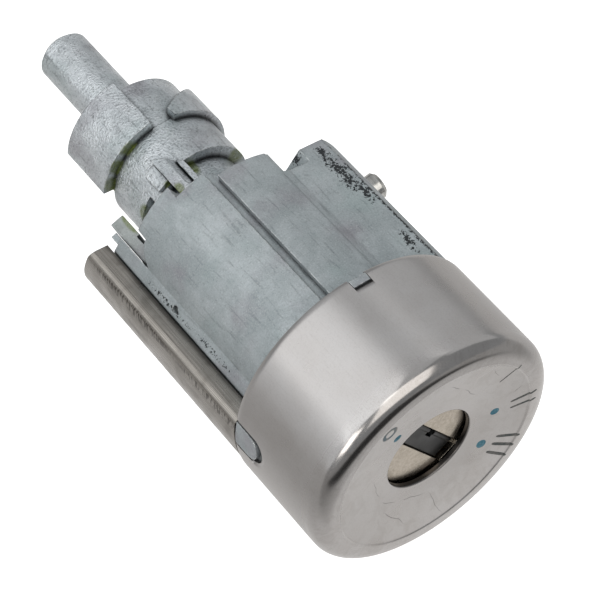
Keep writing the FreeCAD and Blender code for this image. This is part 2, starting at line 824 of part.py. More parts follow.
def stop_lug():
    """Stop lug on the drum: high and low ridge, a sloping valley between them and a slanting rear."""
    right, left = stop_lug_angles
    rear_right, rear_left = stop_lug_rear_ends
    root = neck_radius - over
    solid = sector(root, stop_lug_radius, stop_lug_angles, (stop_lug_front, rear_left))
    near = at(stop_lug_radius, right)
    far = at(stop_lug_radius, left)
    slope = (rear_right - rear_left) / (near.x - far.x)
    outline = [
        (near.x + over, rear_right + slope * over),
        (near.x + over, rear_left + over),
        (far.x - over, rear_left + over),
        (far.x - over, rear_left - slope * over),
    ]
    corners = [Vec(x, station, 0) for x, station in outline]
    behind = Part.Face(Part.makePolygon(corners + corners[:1])).extrude(Vec(0, 0, stop_lug_radius + over))
    low, high = stop_lug_valley_angles
    above = stop_lug_radius + over
    floor = [at(stop_lug_radius, high), at(above, high), at(above, low),
             at(stop_lug_radius - stop_lug_valley_depth, low)]
    stations = (stop_lug_front - over, rear_left + over)
    valley = section([(corner.x, corner.z) for corner in floor], stations)
    step = sector(stop_lug_radius - stop_lug_low_step, above, (right - over, low), stations)
    return solid.cut([behind, valley, step])


def cam_tab():
    """Long cam tab at the front of the hub with its slanting rear edge."""
    front, rear = cam_c_stations
    tab = sector(hub_radius - over, cam_c_radius, cam_c_angles, cam_c_stations)
    near, far = cam_c_slant
    slope = (far[1] - near[1]) / (far[0] - near[0])
    end = far[0] + cam_c_end_width
    outline = [(0, near[1] - near[0] * slope), far, (end, rear), (end, rear + over), (0, rear + over)]
    corners = [Vec(x, station, 0) for x, station in outline]
    slant = Part.Face(Part.makePolygon(corners + corners[:1])).extrude(Vec(0, 0, cam_c_radius))
    return tab.cut(slant)


def driver():
    """Rear driver: neck, drum, hub with two cams, stop lug and the tail shaft."""
    solid = turned(
        [
            (0, neck_front),
            (neck_radius, neck_front),
            (neck_radius, detent_station - detent_groove_half[0]),
            (detent_groove_radius, detent_station - detent_groove_half[1]),
            (detent_groove_radius, detent_station + detent_groove_half[1]),
            (neck_radius, detent_station + detent_groove_half[0]),
            (neck_radius, drum_front),
            (drum_radius, drum_front),
            (drum_radius, drum_rear),
            (hub_radius, drum_rear),
            (hub_radius, hub_rear - hub_edge_bevel),
            (hub_radius - hub_edge_bevel, hub_rear),
            (tail_radius, hub_rear),
            (tail_radius, tail_rear - tail_tip_bevel),
            (tail_radius - tail_tip_bevel, tail_rear),
            (0, tail_rear),
        ],
    )
    cam_a = sector(hub_radius - over, cam_a_radius, cam_a_angles, (cam_a_front, hub_rear))
    pad = sector(neck_radius - over, side_pad_radius, side_pad_angles, side_pad_stations)
    apron = sector(neck_radius - over, drum_radius, drum_apron_angles, (drum_apron_front, drum_front + over))
    solid = solid.fuse([cam_a, cam_tab(), stop_lug(), pad, apron])
    flat = block((-tail_radius, tail_radius), (tail_radius - tail_flat_depth, tail_radius + over),
                 (hub_rear + tail_flat_start, tail_rear + over))
    tang_room = tang_half_thickness + tang_fit
    slot = block((-tang_room, tang_room), (-tang_half_height - tang_fit, tang_half_height + tang_fit),
                 (neck_front - over, tang_rear + tang_end_gap))
    half = neck_radius + over
    hole = Part.makeCylinder(cross_pin_radius, 2 * half, Vec(-half, cross_pin_station, 0), Vec(1, 0, 0))
    underside = sector(hub_low_radius, hub_radius + over, hub_low_angles,
                       (drum_rear - hub_low_overlap, hub_rear + over))
    cuts = [to_rest(flat), to_rest(slot), to_rest(hole), underside]
    for turn in key_positions:
        angle = detent_angle + turn
        inner = plunger_tip - plunger_travel - plunger_gap
        depth = neck_radius + over - inner
        cuts.append(Part.makeCone(plunger_tip_radius, plunger_tip_radius + depth, depth,
                                  at(inner, angle, detent_station), at(1, angle)))
    return solid.cut(cuts)


def detent_plunger():
    """Cone-nosed plunger that clicks into the dimples of the neck."""
    nose_height = plunger_radius - plunger_tip_radius
    cone = Part.makeCone(plunger_tip_radius, plunger_radius, nose_height,
                         at(plunger_tip, detent_angle, detent_station), at(1, detent_angle))
    shank = radial_rod(plunger_radius, plunger_tip + nose_height, plunger_rear, detent_angle, detent_station)
    return cone.fuse(shank)


def detent_spring():
    """Spring behind the detent plunger."""
    length = grub_inner - plunger_rear - 2 * coil_end_gap
    return coil(detent_spring_radius, detent_wire_radius, length, detent_spring_turns,
                at(plunger_rear + coil_end_gap, detent_angle, detent_station), at(1, detent_angle))


def detent_grub():
    """Slotted grub screw that closes the detent hole."""
    screw = radial_rod(grub_radius, grub_inner, grub_outer, detent_angle, detent_station)
    slot = block((grub_outer - grub_slot_depth, grub_outer + over),
                 (-grub_slot_half_width, grub_slot_half_width),
                 (detent_station - grub_radius - over, detent_station + grub_radius + over))
    slot.rotate(Vec(0, 0, 0), Vec(0, 1, 0), -detent_angle)
    return screw.cut(slot)


def retaining_pin():
    """Spring-loaded pin in the wing: rounded tip, flange behind the lip and a guide stem."""
    inner, outer = pin_flange_ends
    shaft = Part.makeCylinder(pin_radius, pin_tip - inner, Vec(0, 0, inner), Vec(0, 0, 1))
    tip_edges = [edge for edge in shaft.Edges if edge.BoundBox.ZMin > pin_tip - 0.01]
    shaft = shaft.makeChamfer(pin_tip_bevel, tip_edges)
    flange = Part.makeCylinder(pin_flange_radius, outer - inner, Vec(0, 0, inner), Vec(0, 0, 1))
    stem = Part.makeCylinder(pin_tail_radius, pin_tail_length, Vec(0, 0, inner - pin_tail_length))
    pin = shaft.fuse([flange, stem])
    turn = FreeCAD.Rotation(Vec(0, 0, 1), at(1, pin_angle))
    pin.Placement = FreeCAD.Placement(Vec(0, pin_station, 0), turn)
    return pin


def retaining_spring():
    """Coil spring under the retaining pin."""
    length = pin_flange_ends[0] - pin_bore_floor - 2 * coil_end_gap
    return coil(pin_spring_radius, pin_wire_radius, length, pin_spring_turns,
                at(pin_bore_floor + coil_end_gap, pin_angle, pin_station), at(1, pin_angle))


def steel_bar():
    """Bent steel bar with two flanges, a slanting rear end and the pressed tab that holds the slider."""
    start, end = bar_angles
    upper_rear, lower_rear = bar_rear_ends
    stations = (bar_front, lower_rear)
    web = sector(bar_radius - bar_sheet, bar_radius, bar_angles, stations)
    upper = sector(bar_flange_inner, bar_radius, (start, start + bar_flange_angle), stations)
    lower = sector(bar_flange_inner, bar_radius, (end - bar_flange_angle, end), stations)
    bar = web.fuse([upper, lower]).removeSplitter()
    top = at(bar_radius, start)
    foot = at(bar_radius, end)
    spots = [(top.x, top.z), (foot.x, foot.z)]
    bar = bar.makeFillet(bar_edge_round, edges_along_axis(bar, spots, bar_edge_round / 4))
    slope = (lower_rear - upper_rear) / (top.z - foot.z)
    outline = [
        (top.z + over, upper_rear - slope * over),
        (top.z + over, lower_rear + over),
        (foot.z - over, lower_rear + over),
        (foot.z - over, lower_rear + slope * over),
    ]
    corners = [Vec(-bar_radius - over, station, z) for z, station in outline]
    slant = Part.Face(Part.makePolygon(corners + corners[:1])).extrude(Vec(bar_radius, 0, 0))
    tab = sector(bar_tab_inner, bar_radius - bar_sheet / 2, bar_tab_angles, bar_tab_stations)
    return bar.cut(slant).fuse(tab)


def slider():
    """Die-cast slider with the lug that the bar holds back."""
    plate = along_slider((0, slider_thickness), (0, slider_height), slider_stations)
    shank_room = along_slider((-over, slider_step), (-over, slider_height + over),
                              (slider_stations[0] - over, slider_head_front))
    rear_edges = [edge for edge in plate.Edges if edge.BoundBox.YMin > slider_stations[1] - 0.01]
    plate = plate.makeFillet(slider_edge_round, rear_edges).cut(shank_room)
    lug = along_slider((slider_thickness - slider_lug_root, slider_lug_reach), slider_lug_ends,
                       slider_lug_stations)
    return plate.fuse(lug)


def slider_spring():
    """Coil spring in front of the slider."""
    length = slider_stations[0] - slider_pocket_front - 2 * coil_end_gap
    return coil(slider_spring_radius, slider_wire_radius, length, slider_spring_turns,
                slider_spring_base() + Vec(0, coil_end_gap, 0), Vec(0, 1, 0))


def all_pieces():
    """Every piece of the lock by name, at rest, with the slot turned to position 0."""
    pieces = {
        "front_cap": front_cap(),
        "housing": housing(),
        "plug": to_rest(plug()),
        "shutter_flap": to_rest(shutter_flap()),
        "shutter_pin": to_rest(shutter_pin()),
        "shutter_spring": to_rest(shutter_spring()),
        "sidebar": to_rest(sidebar()),
        "retaining_clip": to_rest(retaining_clip()),
        "cross_pin": to_rest(cross_pin()),
        "driver": driver(),
        "detent_plunger": detent_plunger(),
        "detent_spring": detent_spring(),
        "detent_grub_screw": detent_grub(),
        "retaining_pin": retaining_pin(),
        "retaining_pin_spring": retaining_spring(),
        "steel_bar": steel_bar(),
        "slider": slider(),
        "slider_spring": slider_spring(),
    }
    for number in range(wafer_count):
        pieces["wafer_%d" % (number + 1)] = to_rest(wafer(number))
        pieces["wafer_spring_%d" % (number + 1)] = to_rest(wafer_spring(number))
    for number in range(len(sidebar_spring_stations)):
        pieces["sidebar_spring_%d" % (number + 1)] = to_rest(sidebar_spring(number))
    return pieces


def main():
    """Move the origin to the rear rim of the cap and write one file for each piece."""
    os.makedirs("parts", exist_ok=True)
    for name, shape in all_pieces().items():
        placed = shape.copy()
        placed.translate(Vec(0, -cap_depth, 0))
        placed.exportStep("parts/%s.step" % name)


if __name__ == "__main__":
    main()
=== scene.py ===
import logging
import math
from dataclasses import dataclass
from enum import Enum
from typing import Sequence, Union

import bpy
import numpy as np
from mathutils import Matrix, Vector


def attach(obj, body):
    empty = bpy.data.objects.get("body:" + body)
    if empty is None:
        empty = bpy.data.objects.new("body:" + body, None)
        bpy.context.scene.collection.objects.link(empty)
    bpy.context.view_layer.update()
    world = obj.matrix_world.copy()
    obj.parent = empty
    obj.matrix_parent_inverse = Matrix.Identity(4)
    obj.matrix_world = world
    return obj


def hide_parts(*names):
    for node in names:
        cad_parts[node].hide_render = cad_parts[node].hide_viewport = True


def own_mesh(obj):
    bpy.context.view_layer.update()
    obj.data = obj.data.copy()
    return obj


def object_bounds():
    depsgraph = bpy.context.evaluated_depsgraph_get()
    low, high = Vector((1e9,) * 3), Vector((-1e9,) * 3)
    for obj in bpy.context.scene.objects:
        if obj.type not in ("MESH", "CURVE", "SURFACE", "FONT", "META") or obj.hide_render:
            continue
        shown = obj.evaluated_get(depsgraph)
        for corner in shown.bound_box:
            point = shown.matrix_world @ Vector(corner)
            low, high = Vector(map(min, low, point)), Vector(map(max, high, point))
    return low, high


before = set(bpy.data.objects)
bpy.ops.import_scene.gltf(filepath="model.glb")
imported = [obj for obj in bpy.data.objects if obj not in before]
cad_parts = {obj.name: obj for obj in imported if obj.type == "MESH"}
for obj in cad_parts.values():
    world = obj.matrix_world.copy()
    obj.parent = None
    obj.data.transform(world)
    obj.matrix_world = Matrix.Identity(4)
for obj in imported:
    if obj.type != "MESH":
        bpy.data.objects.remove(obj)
CAD_LOW, CAD_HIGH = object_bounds()

LOG = logging.getLogger("lock")
MM = 0.001
RIM_STATION = 18.2  # distance from the cap's front plane to the row origin, in mm

SMOOTH = {"interpolation_type": "SMOOTHSTEP"}  # a Map Range that eases in and out
WHITE = (1.0, 1.0, 1.0, 1.0)
ASLANT = (0.36, 0.48, 0.8)  # a direction that no spring has
SPRING_WIRE = ("8c8a86", "6f6d6a", 0.3)  # colour, shade and roughness of bright drawn wire

Array = np.ndarray
Values = Union[Array, float]
Socket = bpy.types.NodeSocket
Tree = bpy.types.NodeTree
Material = bpy.types.Material
Piece = bpy.types.Object
Feed = Union[bpy.types.Node, Socket, float, tuple[float, ...]]
Pair = tuple[float, float]
Triple = tuple[float, float, float]


class Body(Enum):
    """CAD bodies that the new pieces ride on."""

    LOCK = "lock_body"
    ROTOR = "rotor"


class Slot(Enum):
    """Two material slot names, which no piece here is given."""

    STAINLESS = "stainless"
    SPRING = "spring_steel"


def linear(code: str) -> tuple[float, float, float, float]:
    """Turns an sRGB hex colour into linear RGBA.

    Args:
        code: six hex digits, such as "9aa3a6".

    Returns:
        Linear red, green, blue and an alpha of 1.
    """
    parts = [int(code[i:i + 2], 16) / 255 for i in (0, 2, 4)]
    flat = [p / 12.92 if p <= 0.04045 else ((p + 0.055) / 1.055) ** 2.4 for p in parts]
    return flat[0], flat[1], flat[2], 1.0


def place(radius: Values, angle: Values, station: Values) -> Array:
    """Points given in cylinder coordinates about the lock axis, in metres in the row frame.

    Each point is (radius cos angle, station - rim station, radius sin angle).

    Args:
        radius: distance from the axis in mm.
        angle: degrees, counter-clockwise from +X seen from the front.
        station: distance behind the cap's front plane in mm.

    Returns:
        Array with a last axis of three.
    """
    turn = np.radians(angle)
    return MM * np.stack(np.broadcast_arrays(
        radius * np.cos(turn), station - RIM_STATION, radius * np.sin(turn)), -1)


def add_node(tree: Tree, kind: str, inputs: Union[dict, Sequence[Feed]] = (),
             **settings: object) -> bpy.types.Node:
    """Adds one shader node.

    Args:
        tree: the node tree that it goes into.
        kind: the node's type without "ShaderNode".
        inputs: values in the order of the sockets, or by a socket's name or number. A value that is
            another node's output socket is linked, and a node stands for its first output.
        **settings: properties of the node itself.

    Returns:
        The new node.
    """
    made = tree.nodes.new("ShaderNode" + kind)
    for key, value in settings.items():
        setattr(made, key, value)
    for key, value in inputs.items() if isinstance(inputs, dict) else enumerate(inputs):
        if isinstance(value, bpy.types.Node):
            value = value.outputs[0]
        if isinstance(value, Socket):
            tree.links.new(value, made.inputs[key])
        else:
            made.inputs[key].default_value = value
    return made


def per_mm(size: float) -> float:
    """Texture scale in 1/m for features of a size in mm."""
    return 1.0 / (size * MM)


def start_material(name: str) -> tuple[Material, Tree, Socket]:
    """Makes an empty node material.

    Args:
        name: the material's name.

    Returns:
        The material, its node tree and its Object coordinate socket.
    """
    material = bpy.data.materials.new(name)
    material.use_nodes = True
    tree = material.node_tree
    tree.nodes.clear()
    return material, tree, add_node(tree, "TexCoord").outputs["Object"]


@dataclass(frozen=True)
class Layer:
    """One colour over the others, such as dirt, wear or a tint.

    Its amount eases from weak, where the value is low, to strong, where it is high, and is
    multiplied by the mask that it stays inside.
    """

    value: Feed
    low: float
    high: float
    weak: float
    strong: float
    colour: str
    inside: Feed = 1.0


def paint(tree: Tree, base: Feed, layers: Sequence[Layer]) -> Socket:
    """Lays colours over a base, one after the other.

    Args:
        tree: the node tree.
        base: colour or socket underneath.
        layers: the colours and where they show, from the lowest to the highest.

    Returns:
        The painted colour's socket.
    """
    for layer in layers:
        amount = add_node(tree, "MapRange", (layer.value, layer.low, layer.high, layer.weak, layer.strong),
                          **SMOOTH)
        shown = add_node(tree, "Math", (amount, layer.inside), operation="MULTIPLY")
        base = add_node(tree, "Mix", {0: shown, 6: base, 7: linear(layer.colour)},
                        data_type="RGBA").outputs[2]
    return base


@dataclass(frozen=True)
class Stain:
    """An egg-shaped stain: middle and half-widths in mm and turn in degrees, each for X, Y and Z."""

    middle: Triple
    size: Triple
    turn: Triple = (0.0, 0.0, 0.0)


def stain_mask(tree: Tree, coords: Socket, stains: Sequence[Stain], soft: float = 1.0) -> Feed:
    """Mask that is 1 in the middle of any stain and fades to 0 at its outline.

    Args:
        tree: the node tree.
        coords: Object coordinate socket.
        stains: the stains.
        soft: share of the way from the outline to the middle over which it fades.

    Returns:
        The mask's node, or the number 0 with no stains.
    """
    total = 0.0
    for stain in stains:
        centred = add_node(tree, "Mapping", {
            "Vector": coords, "Location": tuple(value * MM for value in stain.middle),
            "Rotation": tuple(math.radians(value) for value in stain.turn),
            "Scale": tuple(value * MM for value in stain.size)}, vector_type="TEXTURE")
        away = add_node(tree, "VectorMath", (centred,), operation="LENGTH")
        part = add_node(tree, "MapRange", (away.outputs["Value"], 1.0 - soft, 1.0, 1.0, 0.0), **SMOOTH)
        total = add_node(tree, "Math", (part, total), operation="MAXIMUM")
    return total


@dataclass(frozen=True)
class ZincCasting:
    """Raw zinc die casting.

    Pressure-cast zinc alloy comes out of the steel die dull and cool grey: a pebbly grain,
    clouds of purple and green grey from the chilled skin, dark pits, fine die scratches along
    the pull and brighter rubbed edges. Painted shade darkens the corners and what lies under an
    overhang, with some dirt in the corners, and runs in a broken dark line along the edges.
    Sizes in mm. Real grain is finer and is drawn as coarse as it needs to show.
    """

    name: str
    light: str = "b3bbbe"
    middle: str = "a0a9ac"
    dark: str = "5c6264"
    roughness: float = 0.44
    metallic: float = 0.45
    cloud: float = 6.0
    tint: float = 8.0
    pit: float = 1.1
    scratch: float = 0.5
    grain: float = 0.22
    soot_grain: float = 0.42
    edge: float = 0.22
    relief: float = 0.03
    speckled: float = 0.3
    # Strength of the painted shade: a broken dark line along the edges.
    wear_and_shade: float = 0.4
    # Strength of the painted shade in corners and under overhangs, with some dirt in the corners.
    corner_shade_and_dirt: float = 0.75
    # How far the painted shade reaches out of a corner, in mm.
    reach: float = 0.7
    soot: tuple[Stain, ...] = ()
    grease: tuple[Stain, ...] = ()

    def build(self) -> Material:
        """Builds the material from its colours and its pattern sizes in mm.

        Returns:
            The node material.
        """
        material, tree, coords = start_material(self.name)
        drawn = add_node(tree, "Mapping", {"Vector": coords, "Scale": (1.0, 0.12, 1.0)})
        cloud, tint, pebble, pit, scratch, fine = (
            add_node(tree, "TexNoise", {"Vector": source, "Scale": per_mm(size), "Detail": detail,
                                        "Roughness": broken, "Distortion": bent})
            for source, size, detail, broken, bent in (
                (coords, self.cloud, 5.0, 0.65, 0.4), (coords, self.tint, 3.0, 0.5, 0.0),
                (coords, self.grain, 2.0, 0.6, 0.0), (coords, self.pit, 5.0, 0.75, 0.0),
                (drawn, self.scratch, 3.0, 0.6, 0.0), (coords, self.soot_grain, 3.0, 0.7, 0.0)))
        rounded = add_node(tree, "Bevel", {"Radius": self.edge * MM}, samples=6)
        shape = add_node(tree, "NewGeometry")
        turned = add_node(tree, "VectorMath", (rounded, shape.outputs["Normal"]), operation="DOT_PRODUCT")
        edge = add_node(tree, "MapRange", (turned.outputs[1], 0.88, 0.995, 1.0, 0.0), **SMOOTH)
        # Occlusion sets where the painted shade in corners falls.
        corner = add_node(tree, "AmbientOcclusion", {"Distance": self.reach * MM}, samples=8).outputs["AO"]
        layers = [
            Layer(cloud, 0.34, 0.66, 0.0, 1.0, self.light),
            Layer(tint, 0.5, 0.72, 0.0, 0.6, "948f97"),
            Layer(tint, 0.25, 0.45, 0.45, 0.0, "9fb0b0"),
            Layer(scratch, 0.54, 0.76, 0.0, 0.4, self.dark),
            Layer(pit, 0.54, 0.74, 0.0, 0.9 * self.speckled, self.dark),
            Layer(pebble, 0.52, 0.75, 0.0, self.speckled, self.dark),
            Layer(pebble, 0.25, 0.46, self.speckled, 0.0, "dde2e3"),
            # Along the edges: bright rubbed wear, then a broken dark line of painted shade.
            Layer(pit, 0.40, 0.56, 0.0, 1.0, "e2e6e6", edge),
            Layer(pit, 0.40, 0.56, self.wear_and_shade, 0.0, "2c3032", edge),
            # Painted shade in corners and under overhangs, with some dirt in the corners.
            Layer(corner, 0.50, 0.93, self.corner_shade_and_dirt, 0.0, "1f2325"),
        ]
        if self.soot:
            even = add_node(tree, "MapRange", (fine, 0.36, 0.64, 0.0, 1.0), **SMOOTH)
            level = add_node(tree, "Math", (stain_mask(tree, coords, self.soot), even), operation="ADD")
            layers.append(Layer(level, 1.0, 1.2, 0.0, 0.95, "1a1e21"))
        if self.grease:
            smeared = stain_mask(tree, coords, self.grease, 0.5)
            layers.append(Layer(pit, 0.3, 0.6, 1.0, 0.55, "6f7b3c", smeared))
        roughness = add_node(
            tree, "MapRange", (cloud, 0.3, 0.7, self.roughness + 0.08, self.roughness - 0.06), **SMOOTH)
        normal = rounded
        for height, strength, depth, inward in ((pebble, 0.8, self.relief, False), (pit, 0.5, 0.08, True),
                                                (cloud, 0.5, 0.3, False)):
            normal = add_node(tree, "Bump", {"Strength": strength, "Distance": depth * MM, "Height": height,
                                             "Normal": normal}, invert=inward)
        shader = add_node(tree, "BsdfPrincipled", {
            "Base Color": paint(tree, linear(self.middle), layers), "Metallic": self.metallic,
            "Roughness": roughness, "Normal": normal})
        add_node(tree, "OutputMaterial", (shader,))
        return material


@dataclass(frozen=True)
class SatinStainless:
    """Pressed stainless sheet with a satin, finely brushed skirt and a smoother rolled edge.

    The sheet is rolled and brushed before it is drawn, so it reflects softly, with a warm
    grey tone, hair-fine scratches and the odd deeper one. The die polishes the rolled edge.
    Painted shade darkens the crease at the bead's foot and the wall of the key hole.
    Sizes in mm. Real brushing is finer: its hairs and grain are drawn as coarse as they need
    to show.
    """

    name: str = "stainless_satin"
    colour: str = "c5c3c2"
    shade: str = "bdbab8"
    # Colour of the scratches, and of the painted shade at the bead's foot and in the key hole.
    scratch_and_shade_colour: str = "3f3b39"
    roughness: float = 0.28
    rolled: float = 0.17
    cloud: float = 9.0
    patch: float = 2.6
    hair: float = 0.14
    grain: float = 0.22
    wander: float = 2.2
    wander_by: float = 0.9
    bead_foot: float = 15.3
    hole_radius: float = 6.6
    face_ends: Pair = (-17.2, -16.6)
    roll_begins: Pair = (15.2, 16.4)
    roll_ends: Pair = (-17.0, -14.0)
    scratches: tuple[Stain, ...] = tuple(
        Stain((x, y, z), (half_length, 2.0, half_width), (0.0, turn, 0.0))
        for x, y, z, half_length, half_width, turn in (
            (2.8, -17.6, 12.2, 1.9, 0.07, 49.6), (5.6, -17.3, 8.5, 2.9, 0.07, 54.9),
            (-6.0, -17.4, -9.8, 4.2, 0.08, 55.2), (-8.9, -17.0, -1.0, 3.4, 0.05, 78.0),
            (-6.6, -16.9, -6.0, 2.4, 0.06, 40.0), (-2.6, -17.0, -8.3, 3.0, 0.06, 23.0),
            (0.9, -17.4, -12.3, 4.3, 0.06, 72.0), (9.3, -17.5, 10.4, 1.9, 0.05, 62.0),
            (13.4, -17.9, 3.6, 1.6, 0.05, -35.0)))

    def drawn(self, tree: Tree, coords: Socket) -> Feed:
        """Mask of the long scratches, whose lines a noise bends sideways.

        Args:
            tree: the node tree.
            coords: Object coordinate socket.

        Returns:
            The mask's node.
        """
        bent = add_node(tree, "TexNoise",
                        {"Vector": coords, "Scale": per_mm(self.wander), "Detail": 1.0})
        shifted = add_node(tree, "VectorMath", (bent.outputs[1], (self.wander_by * MM,) * 3, coords),
                           operation="MULTIPLY_ADD")
        centred = add_node(tree, "VectorMath", (shifted, (-0.5 * self.wander_by * MM,) * 3),
                           operation="ADD")
        return stain_mask(tree, centred, self.scratches)

    def build(self) -> Material:
        """Builds the material from its colours and its pattern sizes in mm.

        Returns:
            The node material.
        """
        material, tree, coords = start_material(self.name)
        brushed = add_node(tree, "Mapping", {"Vector": coords, "Scale": (1.0, 0.06, 1.0)})
        cloud, patch, hair, grain = (
            add_node(tree, "TexNoise", {"Vector": source, "Scale": per_mm(size), "Detail": detail,
                                        "Roughness": broken, "Distortion": bent})
            for source, size, detail, broken, bent in (
                (coords, self.cloud, 4.0, 0.6, 0.0), (coords, self.patch, 4.0, 0.6, 1.2),
                (brushed, self.hair, 2.0, 0.6, 0.0), (coords, self.grain, 2.0, 0.5, 0.0)))
        scratch = self.drawn(tree, coords)
        axes = add_node(tree, "SeparateXYZ", (coords,))
        flat = add_node(tree, "CombineXYZ", {"X": axes.outputs["X"], "Z": axes.outputs["Z"]})
        radius = add_node(tree, "VectorMath", (flat,), operation="LENGTH").outputs["Value"]
        beside = add_node(tree, "Math", (radius, self.bead_foot * MM), operation="SUBTRACT")
        away = add_node(tree, "Math", (beside,), operation="ABSOLUTE")
        on_face, edge, polished, faded, uneven, scratched = (
            add_node(tree, "MapRange", values, **SMOOTH) for values in (
                (axes.outputs["Y"], *np.multiply(self.face_ends, MM), 1.0, 0.0),
                (radius, *np.multiply(self.roll_begins, MM), 0.0, 1.0),
                (axes.outputs["Y"], *np.multiply(self.roll_ends, MM), self.rolled - self.roughness, 0.0),
                (cloud, 0.38, 0.55, 1.0, 0.25),
                (cloud, 0.3, 0.7, self.roughness - 0.015, self.roughness + 0.03),
                (scratch, 0.0, 0.6, 0.0, 0.6)))
        # Where the painted shade line at the bead's foot shows: on the face, broken up by the cloud.
        bead_crease_shade = add_node(tree, "Math", (on_face, faded), operation="MULTIPLY")
        colour = paint(tree, linear(self.shade), (
            Layer(cloud, 0.3, 0.7, 0.0, 1.0, self.colour),
            Layer(patch, 0.44, 0.68, 0.0, 0.16, "8b847c", on_face),
            Layer(hair, 0.52, 0.75, 0.0, 0.12, "8f8a86"),
            Layer(grain, 0.45, 0.75, 0.0, 0.14, "8f8a86"),
            Layer(scratch, 0.0, 0.6, 0.0, 0.6, self.scratch_and_shade_colour),
            # Painted shade: a thin dark line in the crease at the bead's foot.
            Layer(away, 0.03 * MM, 0.16 * MM, 0.1, 0.0, self.scratch_and_shade_colour, bead_crease_shade),
            # Painted shade on the key hole's wall and the inner edge of its lip.
            Layer(radius, (self.hole_radius + 0.02) * MM, (self.hole_radius + 0.2) * MM, 0.85, 0.0,
                  self.scratch_and_shade_colour),
        ))
        roughness = add_node(tree, "Math", (polished, edge, uneven), operation="MULTIPLY_ADD")
        bump = add_node(tree, "Bump", {"Strength": 0.06, "Distance": 0.02 * MM, "Height": grain})
        for height, strength, depth, inward in ((hair, 0.04, 0.02, False), (patch, 0.05, 0.008, False),
                                                (scratched, 0.5, 0.03, True)):
            bump = add_node(tree, "Bump", {"Strength": strength, "Distance": depth * MM, "Height": height,
                                           "Normal": bump}, invert=inward)
        shader = add_node(tree, "BsdfPrincipled", {
            "Base Color": colour, "Metallic": 1.0, "Roughness": roughness, "Normal": bump})
        add_node(tree, "OutputMaterial", (shader,))
        return material


@dataclass(frozen=True)
class PlainMetal:
    """Turned, drawn or plated metal with lengthwise streaks and specks of dirt.

    The draw marks run along one axis, the polish varies softly and grime sits in specks. A
    blackened piece is not metallic. Grime and cross ticks lie only in the stains given. Sizes
    in mm. Real draw marks are finer and are drawn as coarse as they need to show.
    """

    name: str
    colour: str
    shade: str
    roughness: float
    streaks: Triple = (1.0, 0.06, 1.0)
    dirt: str = "3b3733"
    dirt_amount: float = 0.5
    metallic: float = 1.0
    edge_radius: float = 0.15
    thread: float = 0.5
    cloud: float = 3.0
    tick: float = 0.3
    relief: float = 0.25
    grime: tuple[Stain, ...] = ()
    ticked: tuple[Stain, ...] = ()

    def build(self) -> Material:
        """Builds the material from its colours and its pattern sizes in mm.

        Returns:
            The node material.
        """
        material, tree, coords = start_material(self.name)
        drawn = add_node(tree, "Mapping", {"Vector": coords, "Scale": self.streaks})
        hair = add_node(tree, "TexNoise",
                        {"Vector": drawn, "Scale": per_mm(self.thread), "Detail": 4.0, "Roughness": 0.65})
        cloud = add_node(tree, "TexNoise",
                         {"Vector": coords, "Scale": per_mm(self.cloud), "Detail": 4.0})
        layers = [Layer(hair, 0.3, 0.7, 0.0, 1.0, self.colour),
                  Layer(cloud, 0.55, 0.75, 0.0, self.dirt_amount, self.dirt)]
        if self.grime:
            layers.append(Layer(stain_mask(tree, coords, self.grime), 0.0, 0.7, 0.0, 0.75, "37322e"))
        if self.ticked:
            crossed = add_node(tree, "Mapping", {"Vector": coords, "Scale": (1.0, 1.0, 0.15)})
            tick = add_node(tree, "TexNoise", {"Vector": crossed, "Scale": per_mm(self.tick), "Detail": 3.0})
            edge = stain_mask(tree, coords, self.ticked)
            mask = add_node(tree, "MapRange", (edge, 0.0, 0.5, 0.0, 1.0), **SMOOTH)
            layers.append(Layer(tick, 0.44, 0.56, 0.0, 0.75, "3b3631", mask))
        roughness = add_node(
            tree, "MapRange", (cloud, 0.3, 0.7, self.roughness - 0.05, self.roughness + 0.10), **SMOOTH)
        rounded = add_node(tree, "Bevel", {"Radius": self.edge_radius * MM}, samples=4)
        lines = add_node(tree, "Bump", {"Strength": self.relief, "Distance": 0.02 * MM, "Height": hair,
                                        "Normal": rounded})
        shader = add_node(tree, "BsdfPrincipled", {
            "Base Color": paint(tree, linear(self.shade), layers), "Metallic": self.metallic,
            "Roughness": roughness, "Normal": lines})
        add_node(tree, "OutputMaterial", (shader,))
        return material


@dataclass(frozen=True)
class MarkFilling:
    """Enamel filling of a stamped mark, dark, grey or teal: matt, with worn patches."""

    name: str
    colour: str
    wear_and_shade: str
    patch: float = 0.7

    def build(self) -> Material:
        """Builds the material.

        Returns:
            The node material.
        """
        material, tree, coords = start_material(self.name)
        cloud = add_node(tree, "TexNoise",
                         {"Vector": coords, "Scale": per_mm(self.patch), "Detail": 3.0})
        colour = paint(tree, linear(self.colour), (Layer(cloud, 0.4, 0.65, 0.0, 1.0, self.wear_and_shade),))
        rough = add_node(tree, "Bump", {"Strength": 0.3, "Distance": 0.02 * MM, "Height": cloud})
        shader = add_node(tree, "BsdfPrincipled", {"Base Color": colour, "Metallic": 0.2, "Roughness": 0.6,
                                                   "Normal": rough})
        add_node(tree, "OutputMaterial", (shader,))
        return material


